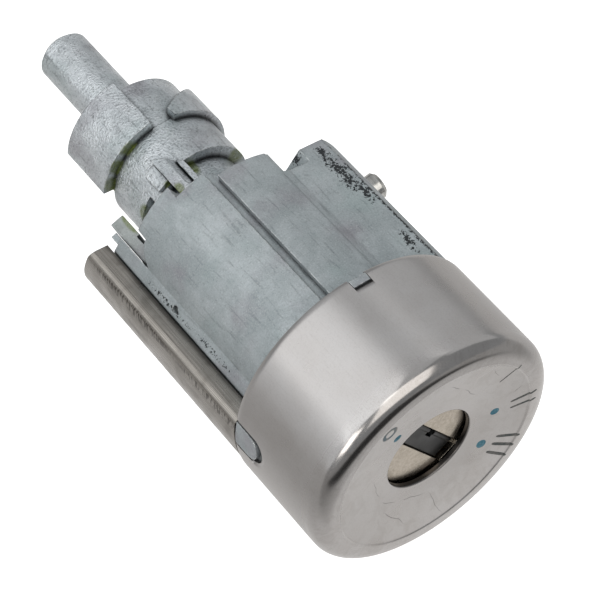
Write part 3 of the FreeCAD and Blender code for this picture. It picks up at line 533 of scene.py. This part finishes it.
def grid_mesh(name: str, points: Array, capped: bool = False) -> Piece:
    """Makes a closed mesh of quads from a grid of points whose columns wrap round.

    Corner (i, j) joins (i+1, j), (i+1, j+1) and (i, j+1).

    Args:
        name: the piece's name.
        points: array of rows, columns and three coordinates in metres.
        capped: False if the last row joins the first, True if strips of quads close the first
            and the last row, which are small rings.

    Returns:
        The linked object, with smooth faces that point outwards.
    """
    rows, columns = points.shape[:2]
    i = np.arange(rows - 1 if capped else rows)[:, None]
    j = np.arange(columns)
    right = (j + 1) % columns
    below = (i + 1) % rows
    quads = np.stack(np.broadcast_arrays(i * columns + j, below * columns + j, below * columns + right,
                                         i * columns + right), -1).reshape(-1, 4)
    if capped:
        k = np.arange(columns // 2 - 1)
        start = np.stack([k, k + 1, columns - 2 - k, columns - 1 - k], -1)
        quads = np.concatenate([quads, start, start[:, ::-1] + (rows - 1) * columns])
    mesh = bpy.data.meshes.new(name)
    mesh.vertices.add(rows * columns)
    mesh.vertices.foreach_set("co", points.astype(np.float32).ravel())
    mesh.loops.add(quads.size)
    mesh.loops.foreach_set("vertex_index", quads.astype(np.int32).ravel())
    mesh.polygons.add(len(quads))
    mesh.polygons.foreach_set("loop_start", np.arange(0, quads.size, 4, dtype=np.int32))
    mesh.polygons.foreach_set("use_smooth", np.ones(len(quads), dtype=bool))
    mesh.update(calc_edges=True)
    mesh.validate()
    if signed_volume(mesh) < 0:
        mesh.flip_normals()
    return linked(name, mesh)


def circle(count: int) -> Array:
    """Even turns round a circle in radians."""
    return np.linspace(0.0, 2 * np.pi, count, endpoint=False)


def linked(name: str, data: bpy.types.ID) -> Piece:
    """New object in the scene with the data given."""
    made = bpy.data.objects.new(name, data)
    bpy.context.scene.collection.objects.link(made)
    return made


def signed_volume(mesh: bpy.types.Mesh) -> float:
    """Volume of a closed mesh, a sixth of its triangles' triple products.

    Args:
        mesh: the mesh.

    Returns:
        The volume, negative if inside out.
    """
    mesh.calc_loop_triangles()
    corners = np.empty(len(mesh.loop_triangles) * 3, np.int32)
    mesh.loop_triangles.foreach_get("vertices", corners)
    points = np.empty(len(mesh.vertices) * 3, np.float32)
    mesh.vertices.foreach_get("co", points)
    a, b, c = (points.reshape(-1, 3)[corners.reshape(-1, 3)[:, k]].astype(float) for k in range(3))
    return float(np.einsum("ij,ij->i", a, np.cross(b, c)).sum() / 6)


@dataclass
class FrontCap:
    """Stainless cap: skirt with two notches, rolled edge, bead, dished face and key hole."""

    radius: float = 19.0
    depth: float = 18.2
    sheet: float = 0.7
    edge_round: float = 2.4
    bead_radius: float = 15.6
    bead_width: float = 0.35
    bead_step: float = 0.18
    hole_radius: float = 6.6
    hole_station: float = 1.65
    lip_round: float = 0.3
    curl_depth: float = 0.28
    curl_length: float = 0.9
    rim_notch: Pair = (85.5, 93.7)
    rim_notch_station: float = 16.4
    side_notch_angle: float = 176.5
    side_notch_half: float = 2.5
    side_notch_station: float = 12.4
    crisp_angle: float = 50.0
    columns: int = 480
    notch_columns: int = 41
    wall_half: float = 0.05
    wall_clear: float = 0.15
    notch_clear: float = 0.2
    skirt_rows: int = 24
    edge_rows: int = 13
    finish: SatinStainless = SatinStainless()

    def dish_station(self, radius: Array) -> Array:
        """Station of the face at a radius in mm: a cone from hole to bead, then the bead and the rolled edge.

        Args:
            radius: radii in mm.

        Returns:
            The stations in mm.
        """
        foot = self.bead_radius - self.bead_width
        share = np.clip((foot - radius) / (foot - self.hole_radius), 0.0, None)
        bead = np.interp(radius, [foot, self.bead_radius], [self.bead_step, 0.0])
        rolled = np.clip(radius - self.radius + self.edge_round, 0.0, self.edge_round)
        return bead + share * (self.hole_station - self.bead_step) + self.edge_round \
            - np.sqrt(self.edge_round ** 2 - rolled ** 2)

    def angles(self) -> Array:
        """Angles of the grid's columns: even steps, and close ones where a notch has its walls.

        Returns:
            The angles in degrees.
        """
        even = np.linspace(0.0, 360.0, self.columns, endpoint=False)
        sine = np.sin(np.linspace(-0.5 * np.pi, 0.5 * np.pi, self.notch_columns))
        per_degree = self.radius * math.radians(1.0)
        wide = self.side_notch_angle + sine * self.side_notch_half / per_degree
        walls = [self.rim_notch[0], self.rim_notch[1], wide[0], wide[-1]]
        close = np.concatenate([[wall - self.wall_half, wall + self.wall_half] for wall in walls])
        inside = even[(even < wide[0] - self.notch_clear) | (even > wide[-1] + self.notch_clear)]
        inside = inside[np.min(np.abs(inside[:, None] - walls), axis=1) > self.wall_clear]
        return np.unique(np.concatenate([inside, wide[1:-1], close]))

    def rim(self, angle: Array) -> Array:
        """Station of the rim at each angle.

        The rim lies at the full depth, at one station in the top notch, and in the side notch on
        half a circle: station = centre - sqrt(half width squared - arc length squared).

        Args:
            angle: column angles in degrees.

        Returns:
            The rim's station in mm for each column.
        """
        rim = np.full_like(angle, self.depth)
        rim[(angle > self.rim_notch[0]) & (angle < self.rim_notch[1])] = self.rim_notch_station
        arc = np.radians(angle - self.side_notch_angle) * self.radius
        inside = np.abs(arc) < self.side_notch_half
        centre = self.side_notch_station + self.side_notch_half
        rim[inside] = centre - np.sqrt(self.side_notch_half ** 2 - arc[inside] ** 2)
        return rim

    def profile(self) -> tuple[Array, Array, Array]:
        """Closed outline of the sheet from the rim over the outside to the hole and back inside.

        Returns:
            Radius and station in mm of each outline point, and its share of the way from the
            rolled edge to the rim, which is 0 away from the skirt.
        """
        quarter = np.linspace(0.0, 0.5 * np.pi, self.edge_rows)
        inner_round = self.edge_round - self.sheet
        edge = self.radius - self.edge_round
        foot = self.bead_radius - self.bead_width
        slope = (self.hole_station - self.bead_step) / (foot - self.hole_radius)
        skirt = 1 - np.linspace(0.0, 1.0, self.skirt_rows, endpoint=False) ** 2.2
        dish = np.linspace(foot, self.hole_radius + self.lip_round, 30)
        lip = self.dish_station(self.hole_radius + self.lip_round)
        bead = np.linspace(0.0, 1.0, 6)
        wave = 0.5 - 0.5 * np.cos(np.pi * bead)
        under = np.linspace(self.hole_radius, foot, 12)
        parts = [
            (self.radius, self.edge_round, skirt),
            (edge + self.edge_round * np.cos(quarter), self.edge_round * (1 - np.sin(quarter)), 0.0),
            (np.linspace(edge, self.bead_radius, 5)[1:], 0.0, 0.0),
            (self.bead_radius - self.bead_width * bead[1:], self.bead_step * wave[1:], 0.0),
            (dish[1:], self.dish_station(dish[1:]), 0.0),
            (self.hole_radius + self.lip_round * (1 - np.sin(quarter[1:])),
             lip + self.lip_round * (1 - np.cos(quarter[1:])), 0.0),
            (under, self.hole_station + self.sheet - slope * (under - self.hole_radius), 0.0),
            (np.array([self.bead_radius, edge]), self.sheet, 0.0),
            (edge + inner_round * np.sin(quarter[1:]),
             self.edge_round - inner_round * np.cos(quarter[1:]), 0.0),
            (self.radius - self.sheet, self.edge_round, skirt[::-1]),
        ]
        rows = (np.broadcast_arrays(*part) for part in parts)
        return tuple(np.concatenate(column) for column in zip(*rows))

    def build(self) -> Piece:
        """Builds the cap: the outline is carried round the axis, and its skirt reaches to the rim's station.

        Near the rim the outside curls in by curl depth times the square of the share of the
        curl's length that is passed.

        Returns:
            The finished piece.
        """
        radius, station, share = self.profile()
        angle = self.angles()
        reach = self.rim(angle) - self.edge_round
        stations = station[:, None] + share[:, None] * reach
        outside = (radius > self.radius - 0.5 * self.sheet) & (share > 0)
        left = np.clip(1 - (1 - share[:, None]) * reach / self.curl_length, 0, 1)
        curl = outside[:, None] * self.curl_depth * left ** 2
        points = place(radius[:, None] - curl, angle, stations)
        piece = grid_mesh("cap_shell", points)
        piece.data.set_sharp_from_angle(angle=math.radians(self.crisp_angle))
        piece.data.materials.append(self.finish.build())
        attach(piece, Body.LOCK.value)
        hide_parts("front_cap")
        return piece


@dataclass(frozen=True)
class Stroke:
    """One stamped line on the face: its angle in degrees, its ends on the radius and its width in mm."""

    name: str
    angle: float
    inner: float
    outer: float
    width: float


@dataclass
class FaceMarks:
    """Stamped key positions on the cap's face: a ring, three groups of bars and three teal dots, in mm."""

    cap: FrontCap
    lift: float = 0.03
    sunk: float = 0.06
    stroke_sunk: float = 0.08
    ring_angle: float = 124.2
    ring_radius: float = 13.6
    ring_across: float = 1.9
    ring_along: float = 2.0
    ring_wire: float = 0.28
    around: int = 12
    # Each dot's name, its angle in degrees and its radius and diameter in mm.
    dots: tuple[tuple[str, float, float, float], ...] = (
        ("dot_zero", 126.0, 10.0, 1.3),
        ("dot_two", 2.4, 10.3, 1.3),
        ("dot_three", -32.8, 10.1, 1.45),
    )
    strokes: tuple[Stroke, ...] = (
        Stroke("mark_one", 35.8, 12.6, 16.2, 0.24),
        Stroke("mark_two_upper", 5.0, 12.6, 16.5, 0.46),
        Stroke("mark_two_lower", -1.2, 12.6, 16.4, 0.42),
        Stroke("mark_three_upper", -26.2, 12.0, 16.0, 0.50),
        Stroke("mark_three_middle", -32.6, 12.0, 15.9, 0.54),
        Stroke("mark_three_lower", -39.4, 12.0, 15.8, 0.50),
    )

    def bar(self, stroke: Stroke) -> Piece:
        """One stroke: a thin lens carried along a radius, so that it follows dish, bead and rolled edge.

        The lens is half the width across times the cosine of the turn, and its height is the sine
        times the lift above and the sunk depth below; towards the ends the width shrinks with the root
        of 1 - 0.97 t^8, where t runs from -1 to 1 along the stroke.

        Args:
            stroke: the stroke's name, angle, ends and width.

        Returns:
            The linked object.
        """
        along = np.linspace(-1.0, 1.0, 41)[:, None]
        turn = circle(self.around)
        across = stroke.width / 2 * np.sqrt(1 - 0.97 * along ** 8) * np.cos(turn)
        rise = np.where(np.sin(turn) > 0, self.lift, self.stroke_sunk) * np.sin(turn)
        outward = (stroke.inner + stroke.outer) / 2 + (stroke.outer - stroke.inner) / 2 * along
        radius = np.hypot(outward, across)
        angle = stroke.angle + np.degrees(np.arctan2(across, outward))
        points = place(radius, angle, self.cap.dish_station(radius) - rise)
        return grid_mesh(stroke.name, points, capped=True)

    def dot(self, name: str, angle: float, radius: float, size: float) -> Piece:
        """One round dot: a thin lens on the dished face whose top and foot follow the dish.

        The top stands above the dish by lift times (1 - t^4), where t runs from the middle to
        the outline, and the foot lies below it by the sunk depth.

        Args:
            name: the piece's name.
            angle: angle of its middle in degrees.
            radius: radius of its middle in mm.
            size: its diameter in mm.

        Returns:
            The linked object.
        """
        turn = circle(2 * self.around)
        share = np.array([0.02, 0.3, 0.6, 0.85, 1.0])
        both = np.concatenate([share, share[::-1]])
        top = np.repeat([True, False], len(share))
        x = both[:, None] * (size / 2 * np.cos(turn))
        y = both[:, None] * (size / 2 * np.sin(turn))
        out = np.hypot(radius + y, x)
        at = angle + np.degrees(np.arctan2(x, radius + y))
        rise = np.where(top, self.lift * (1 - both ** 4), -self.sunk)
        return grid_mesh(name, place(out, at, self.cap.dish_station(out) - rise[:, None]))

    def ring(self, name: str) -> Piece:
        """Oval ring: an ellipse carried by a small circle of wire radius, laid on the dish.

        Args:
            name: the piece's name.

        Returns:
            The linked object.
        """
        turn = circle(4 * self.around)[:, None]
        tube = circle(self.around)
        x = np.cos(turn) * (self.ring_across / 2 + self.ring_wire * np.cos(tube))
        y = np.sin(turn) * (self.ring_along / 2 + self.ring_wire * np.cos(tube))
        out = np.hypot(self.ring_radius + y, x)
        at = self.ring_angle + np.degrees(np.arctan2(x, self.ring_radius + y))
        points = place(out, at, self.cap.dish_station(out) - self.lift * np.sin(tube))
        return grid_mesh(name, points)

    def build(self) -> list[Piece]:
        """Builds and dresses every mark.

        Returns:
            The finished pieces.
        """
        dark = MarkFilling("mark_engraved_dark", "4c5150", "6d6c6a").build()
        teal = MarkFilling("mark_paint_teal", "3a7589", "5d8b9b").build()
        grey = MarkFilling("mark_zero_grey", "66777f", "918f8b").build()
        made = [(self.bar(stroke), dark) for stroke in self.strokes]
        made.append((self.ring("mark_zero"), grey))
        made.extend((self.dot(*dot), teal) for dot in self.dots)
        for piece, filling in made:
            piece.data.materials.append(filling)
            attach(piece, Body.LOCK.value)
        return [piece for piece, _ in made]


@dataclass(frozen=True)
class CoilSpring:
    """One coil spring of round wire with closed ends, between its seat and the piece that presses it."""

    name: str
    body: Body
    seat: Triple
    along: Triple
    length: float
    radius: float
    wire: float
    turns: float
    joint: str
    travel: float
    steps: int = 40  # points per turn
    sides: int = 10
    closed_pitch: float = 2.05  # in wire radii

    def build(self) -> Piece:
        """Builds the spring: a circle of the wire's radius carried along a helix.

        The helix is seat + along * height(t) + radius * (side cos + up sin)(2 pi turns t). Its
        height rises slowly over the first and the last turn, where the coil lies closed.

        Returns:
            The finished piece.
        """
        axis = np.array(self.along, float)
        axis /= np.linalg.norm(axis)
        side = np.cross(axis, ASLANT)
        side /= np.linalg.norm(side)
        up = np.cross(axis, side)
        share = np.linspace(0.0, 1.0, int(self.steps * (self.turns + 2)))
        turn = 2 * np.pi * (self.turns + 2) * share
        closed = 1.0 / (self.turns + 2)
        free = np.clip((share - closed) / (1 - 2 * closed), 0, 1)
        pitch = self.closed_pitch * self.wire
        height = self.wire + pitch * (np.clip(share / closed, 0, 1)
                                      + np.clip((share - 1 + closed) / closed, 0, 1))
        height += free * (self.length - 2 * self.wire - 2 * pitch)
        out = side * np.cos(turn)[:, None] + up * np.sin(turn)[:, None]
        path = np.array(self.seat) + axis * height[:, None] + out * (self.radius - self.wire)
        tangent = np.gradient(path, axis=0)
        tangent /= np.linalg.norm(tangent, axis=1)[:, None]
        over = np.cross(tangent, out)
        ring = circle(self.sides)
        size = self.wire * np.where((share > 0) & (share < 1), 1.0, 0.02)
        tube = path[:, None, :] + size[:, None, None] * (
            out[:, None, :] * np.cos(ring)[:, None] + over[:, None, :] * np.sin(ring)[:, None])
        piece = grid_mesh(self.name, tube * MM, capped=True)
        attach(piece, self.body.value)
        return piece


@dataclass
class Springs:
    """Springs that moving pieces press, in place of their stiff solids. Sizes in mm, angles in degrees."""

    wafer_slot_angle: float = 125.0
    wafer_first: float = 9.2
    wafer_pitch: float = 3.4
    wafers: int = 8
    wafer_side: float = 3.5
    wafer_height: float = 4.28
    pin_seat: Triple = (8.62, 12.0, 38.2)  # radius, angle and station
    slider_seat: Triple = (12.56, 160.0, 26.02)
    slider_shifts: tuple[Pair, ...] = ((1.7, -69.2), (1.05, 200.8))  # length and angle

    def all(self) -> list[tuple[CoilSpring, str]]:
        """Places every pressed spring.

        Returns:
            Each spring with the CAD node that it replaces.
        """
        pin = place(*self.pin_seat) / MM
        slide = place(*self.slider_seat) / MM
        for length, angle in self.slider_shifts:
            slide = slide + place(length, angle, RIM_STATION) / MM
        outward, up, across = (
            place(1.0, angle, RIM_STATION) / MM
            for angle in (self.pin_seat[1], self.wafer_slot_angle, self.wafer_slot_angle - 90.0))
        made = [
            (CoilSpring("coil_catch_pin", Body.LOCK, tuple(pin), tuple(outward), length=6.2, radius=2.0,
                        wire=0.25, turns=4.0, joint="catch_pin_press", travel=1.9), "retaining_pin_spring"),
            (CoilSpring("coil_slider", Body.LOCK, tuple(slide), (0.0, 1.0, 0.0), length=7.9, radius=1.0,
                        wire=0.15, turns=7.0, joint="slider_push", travel=3.0), "slider_spring"),
        ]
        for number in range(1, self.wafers + 1):
            station = self.wafer_first + (number - 1) * self.wafer_pitch - RIM_STATION
            seat = across * self.wafer_side + up * self.wafer_height + np.array([0.0, station, 0.0])
            made.append((CoilSpring(f"coil_wafer_{number}", Body.ROTOR, tuple(seat), tuple(-up),
                                    length=5.82, radius=0.62, wire=0.12, turns=3.0,
                                    joint=f"wafer_{number}_lift", travel=1.2), f"wafer_spring_{number}"))
        return made

    def build(self) -> list[Piece]:
        """Builds, dresses and ties every pressed spring.

        Returns:
            The finished pieces.
        """
        finish = PlainMetal("spring_wire_pressed", *SPRING_WIRE).build()
        pieces = []
        for spring, node in self.all():
            piece = spring.build()
            piece.data.materials.append(finish)
            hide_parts(node)
            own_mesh(piece)
            pieces.append(piece)
        return pieces


@dataclass
class Dressing:
    """Finishes of the CAD nodes that show as they are. Stains are placed where the photo shows them."""

    def castings(self) -> dict[str, ZincCasting]:
        """Finishes of the zinc castings: sooty housing, cleaner and shinier driver, greasy slider.

        Returns:
            The start of a node's name to its finish.
        """
        soot = (
            Stain((12.6, 23.4, 12.4), (1.1, 2.2, 1.5), (0.0, 0.0, 10.0)),
            Stain((12.5, 20.4, 12.4), (1.6, 3.6, 1.5), (0.0, 0.0, 8.0)),
            Stain((12.4, 17.4, 12.4), (1.5, 3.4, 1.5)),
            Stain((13.0, 14.4, 12.4), (0.9, 3.2, 1.5), (0.0, 0.0, -8.0)),
            Stain((14.0, 12.0, 12.3), (0.55, 20.0, 1.0)),
            Stain((14.0, 3.0, 12.2), (0.6, 12.0, 1.0)),
            Stain((12.5, 4.4, 12.4), (1.0, 3.4, 1.5), (0.0, 0.0, -6.0)),
            Stain((9.1, 25.0, 12.2), (1.5, 1.3, 2.2)),
            Stain((-15.0, 20.5, 3.25), (0.5, 7.5, 0.9)),
            Stain((-14.9, 11.0, 3.45), (0.5, 7.5, 0.9)),
        )
        grease = (
            Stain((-6.0, 43.2, 7.5), (2.3, 0.4, 1.6), (0.0, 35.0, 0.0)),
            Stain((-7.9, 43.2, 4.9), (2.3, 0.4, 1.6), (0.0, 58.0, 0.0)),
            Stain((-9.1, 43.2, 1.9), (2.3, 0.4, 1.5), (0.0, 78.0, 0.0)),
            Stain((7.2, 36.1, 3.9), (2.0, 0.8, 1.6), (0.0, 60.0, 0.0)),
            Stain((-8.6, 36.0, 2.6), (1.2, 1.3, 2.0)),
            Stain((-0.6, 35.4, 7.2), (1.1, 1.8, 1.0)),
            Stain((-5.2, 34.4, 7.4), (0.8, 1.0, 0.9)),
            Stain((-4.8, 32.4, 8.5), (1.0, 1.3, 0.7)),
        )
        return {
            "housing": ZincCasting("zinc_housing", soot=soot),
            # The driver and the slider get stronger painted shade in corners and along edges; the driver's
            # reaches further, under its cams.
            "driver": ZincCasting("zinc_driver", light="e0e6ea", middle="bdc4c8", dark="3d4345",
                                  roughness=0.31, metallic=0.8, grain=0.30, relief=0.22, speckled=0.5,
                                  wear_and_shade=1.0, corner_shade_and_dirt=1.0, reach=1.3, grease=grease),
            "slider": ZincCasting("zinc_slider", light="b0b6b5", middle="979d9c", corner_shade_and_dirt=1.0, wear_and_shade=0.8,
                                  grease=(Stain((-11.9, 34.2, 4.2), (0.7, 2.4, 0.5)),)),
        }

    def metals(self) -> dict[str, PlainMetal]:
        """Finishes of the turned, drawn and stamped metals.

        Returns:
            The start of a node's name to its finish.
        """
        wires = {
            start: PlainMetal("spring_wire_" + name, *SPRING_WIRE)
            for start, name in (("slider_spring", "slider"), ("retaining_pin_spring", "pin"),
                                ("detent_spring", "detent"), ("sidebar_spring", "sidebar"),
                                ("wafer_spring", "wafer"))}
        return {
            **wires,
            # Cold-drawn steel strip: long draw lines, grime along its foot and dark ticks across its edge.
            "steel_bar": PlainMetal(
                "steel_bar_drawn", "aeaaa4", "86827c", 0.25, (1.0, 0.008, 1.0), "4d4640", 0.35,
                edge_radius=0.25, thread=0.10,
                grime=(Stain((-15.2, 18.0, 2.4), (1.6, 34.0, 0.8)),
                       Stain((-17.8, 37.0, 1.6), (2.5, 1.6, 2.5))),
                ticked=(Stain((-18.7, 24.0, 1.5), (1.0, 14.0, 1.1)),
                        Stain((-18.7, 4.0, 1.2), (1.0, 14.0, 1.0))),
            ),
            # Nickel plate on turned brass: warm, pale and smooth, with no lines left under the plate.
            "plug": PlainMetal("nickel_plate_plug", "c3baae", "aea596", 0.2, (1.0, 1.0, 1.0), "8b8172", 0.3,
                               relief=0.06),
            # Nickel-plated steel is the brightest metal here, and ground steel is a shade duller.
            "retaining_pin": PlainMetal("nickel_steel_pin", "d2d2cf", "a9a9a6", 0.18),
            "cross_pin": PlainMetal("pin_ground_steel", "a9a8a4", "8a8985", 0.3),
            "detent_plunger": PlainMetal("plunger_steel", "b9b8b4", "96958f", 0.2),
            "shutter_pin": PlainMetal("shutter_pin_steel", "8f8d88", "6f6d69", 0.3),
            # Phosphated and blackened steel: near black, and on the flap no metal shines through.
            "retaining_clip": PlainMetal("clip_phosphated", "55534f", "3c3a38", 0.45),
            "shutter_flap": PlainMetal("shutter_black", "0c1013", "06080a", 0.34, metallic=0.0, dirt="2a2f33",
                                       edge_radius=0.12),
            "shutter_spring": PlainMetal("shutter_spring_black", "2a2b2c", "161718", 0.4),
            "detent_grub_screw": PlainMetal("grub_screw_black", "2f2f30", "1c1c1d", 0.4),
            # Bare brass: yellow, with brown tarnish, and rolled lines along the wafers' sheet.
            "sidebar": PlainMetal("brass_sidebar", "c2a35f", "a08347", 0.3, dirt="5d4a25"),
            "wafer": PlainMetal("brass_wafer", "c8aa66", "a5884b", 0.28, (1.0, 1.0, 0.06), "5d4a25"),
        }

    def build(self) -> None:
        """Gives every CAD node the finish whose name it starts with, longest match first."""
        finishes = {**self.castings(), **self.metals()}
        made = {start: finish.build() for start, finish in finishes.items()}
        for name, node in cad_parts.items():
            start = max((start for start in made if name.startswith(start)), key=len, default=None)
            if start is not None:
                node.data.materials.clear()
                node.data.materials.append(made[start])


@dataclass(frozen=True)
class Lamp:
    """One square area light: middle and side in metres, power in watts and colour in sRGB hex."""

    name: str
    position: Triple
    size: float
    power: float
    colour: str = "ffffff"


@dataclass
class Studio:
    """Camera, floor and soft lights. Places are in metres."""

    position: Triple = (-0.1158, -0.1463, 0.2542)
    right: Triple = (0.8062, -0.5918, 0.0)
    up: Triple = (0.4675, 0.6368, 0.6132)
    back: Triple = (-0.3629, -0.4943, 0.7900)
    lens: float = 143.56
    sensor: float = 36.0
    clip: Pair = (0.01, 20.0)
    target: Triple = (0.0, 0.02, 0.0)
    lamps: tuple[Lamp, ...] = (
        Lamp("top_left", (-0.62, 0.22, 0.86), 1.2, 3.2),
        Lamp("top", (-0.30, 0.50, 0.98), 2.3, 3.9),
        Lamp("left", (-0.95, 0.25, 0.15), 0.8, 0.8),
        Lamp("front_left", (-0.90, -0.42, 0.40), 0.4, 1.3, "fffaf4"),
        Lamp("front_top", (-0.12, -0.72, 0.84), 1.0, 3.8, "fffaf4"),
        Lamp("right", (0.80, 0.35, 0.60), 1.0, 0.9),
    )
    sky_strength: float = 0.33
    floor_size: float = 6.0
    floor_gap: float = 0.0002
    floor_glow: float = 0.9
    # Levels of the floor's glow in reflections, painted reflection light, and the spans in metres over which
    # they change.
    mirrored_left: float = 0.50
    mirrored_right: float = 0.92
    mirrored_far: float = 0.7
    mirrored_front: float = 0.66
    mirrored_ahead: float = 0.08
    left_to_right: Pair = (-0.06, 0.01)
    right_to_far: Pair = (0.025, 0.06)
    front_to_back: Pair = (-0.040, -0.024)
    ahead_to_front: Pair = (-0.075, -0.048)
    ahead_middle: float = -0.03
    ahead_half: Pair = (0.05, 0.12)

    def camera(self) -> None:
        """Places the camera with the fitted axes."""
        data = bpy.data.cameras.new("camera")
        data.lens = self.lens
        data.sensor_width = self.sensor
        data.clip_start, data.clip_end = self.clip
        camera = linked("camera", data)
        turn = Matrix((self.right, self.up, self.back)).transposed()
        camera.matrix_world = Matrix.Translation(self.position) @ turn.to_4x4()
        bpy.context.scene.camera = camera

    def light(self, lamp: Lamp) -> None:
        """Adds a square area light that faces the part.

        Args:
            lamp: its place, size, power and colour.
        """
        data = bpy.data.lights.new(lamp.name, "AREA")
        data.size = lamp.size
        data.energy = lamp.power
        data.color = linear(lamp.colour)[:3]
        made = linked(lamp.name, data)
        made.location = lamp.position
        made.rotation_mode = "QUATERNION"
        made.rotation_quaternion = (Vector(self.target) - Vector(lamp.position)).to_track_quat("-Z", "Y")

    def mirrored(self, tree: Tree, coords: Socket) -> Feed:
        """Strength of the floor's glow in reflections, painted reflection light, darkest in a patch ahead of
        the cap.

        Args:
            tree: the floor's node tree.
            coords: Object coordinate socket.

        Returns:
            The strength's node.
        """
        axes = add_node(tree, "SeparateXYZ", (coords,)).outputs
        beside = add_node(tree, "Math", (axes["X"], self.ahead_middle), operation="SUBTRACT")
        away = add_node(tree, "Math", (beside,), operation="ABSOLUTE")
        near, far, front, ahead, middle = (
            add_node(tree, "MapRange", (value, *span, start, end), **SMOOTH)
            for value, span, start, end in (
                (axes["X"], self.left_to_right, self.mirrored_left, self.mirrored_right),
                (axes["X"], self.right_to_far, 1.0, self.mirrored_far),
                (axes["Y"], self.front_to_back, self.mirrored_front, 1.0),
                (axes["Y"], self.ahead_to_front, 1.0, 0.0),
                (away, self.ahead_half, 1.0, 0.0)))
        patch = add_node(tree, "Math", (ahead, middle), operation="MULTIPLY")
        level = add_node(tree, "MapRange", (patch, 0.0, 1.0, 1.0, self.mirrored_ahead), **SMOOTH)
        for share in (near, far, front):
            level = add_node(tree, "Math", (level, share), operation="MULTIPLY")
        return level

    def floor(self) -> None:
        """Pale floor under the part: white to the camera, and in reflections a greyer glow of painted
        reflection light.
        """
        half = self.floor_size / 2
        low = CAD_LOW.z - self.floor_gap
        mesh = bpy.data.meshes.new("floor")
        mesh.from_pydata([(-half, -half, low), (half, -half, low), (half, half, low), (-half, half, low)], [],
                         [(0, 1, 2, 3)])
        material, tree, coords = start_material("floor_pale")
        cloth = add_node(tree, "BsdfDiffuse", {"Color": linear("d6d6d6")})
        path = add_node(tree, "LightPath").outputs
        shown = add_node(tree, "Math", (path["Is Camera Ray"], self.floor_glow), operation="MULTIPLY")
        glow = add_node(tree, "Emission", (WHITE, shown))
        seen = add_node(tree, "AddShader", (cloth, glow))
        # In reflections the floor shows a glow of painted reflection light, not its lit cloth.
        mirrored = add_node(tree, "Emission", (linear("f6f4f2"), self.mirrored(tree, coords)))
        mixed = add_node(tree, "MixShader", (path["Is Glossy Ray"], seen, mirrored))
        add_node(tree, "OutputMaterial", (mixed,))
        mesh.materials.append(material)
        linked("floor", mesh)

    def sky(self) -> None:
        """Even pale surroundings, white where the camera sees them."""
        world = bpy.data.worlds.new("studio")
        world.use_nodes = True
        tree = world.node_tree
        tree.nodes.clear()
        path = add_node(tree, "LightPath").outputs
        soft = add_node(tree, "Background", (linear("f2f4f6"), self.sky_strength))
        white = add_node(tree, "Background", (WHITE, 1.0))
        mixed = add_node(tree, "MixShader", (path["Is Camera Ray"], soft, white))
        add_node(tree, "OutputWorld", (mixed,))
        bpy.context.scene.world = world

    def build(self) -> None:
        """Sets up camera, floor, surroundings and lights."""
        self.camera()
        self.floor()
        self.sky()
        for lamp in self.lamps:
            self.light(lamp)
        bpy.context.scene.view_settings.view_transform = "Standard"


def main() -> None:
    """Builds the dressed lock and its studio, piece by piece."""
    logging.basicConfig(level=logging.INFO, format="%(message)s")
    Dressing().build()
    LOG.info("dressed %d CAD nodes", len(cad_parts))
    cap = FrontCap()
    for piece in (cap.build(), *FaceMarks(cap).build(), *Springs().build()):
        LOG.info("%s: %d faces", piece.name, len(piece.data.polygons))
    Studio().build()


if __name__ == "__main__":
    main()
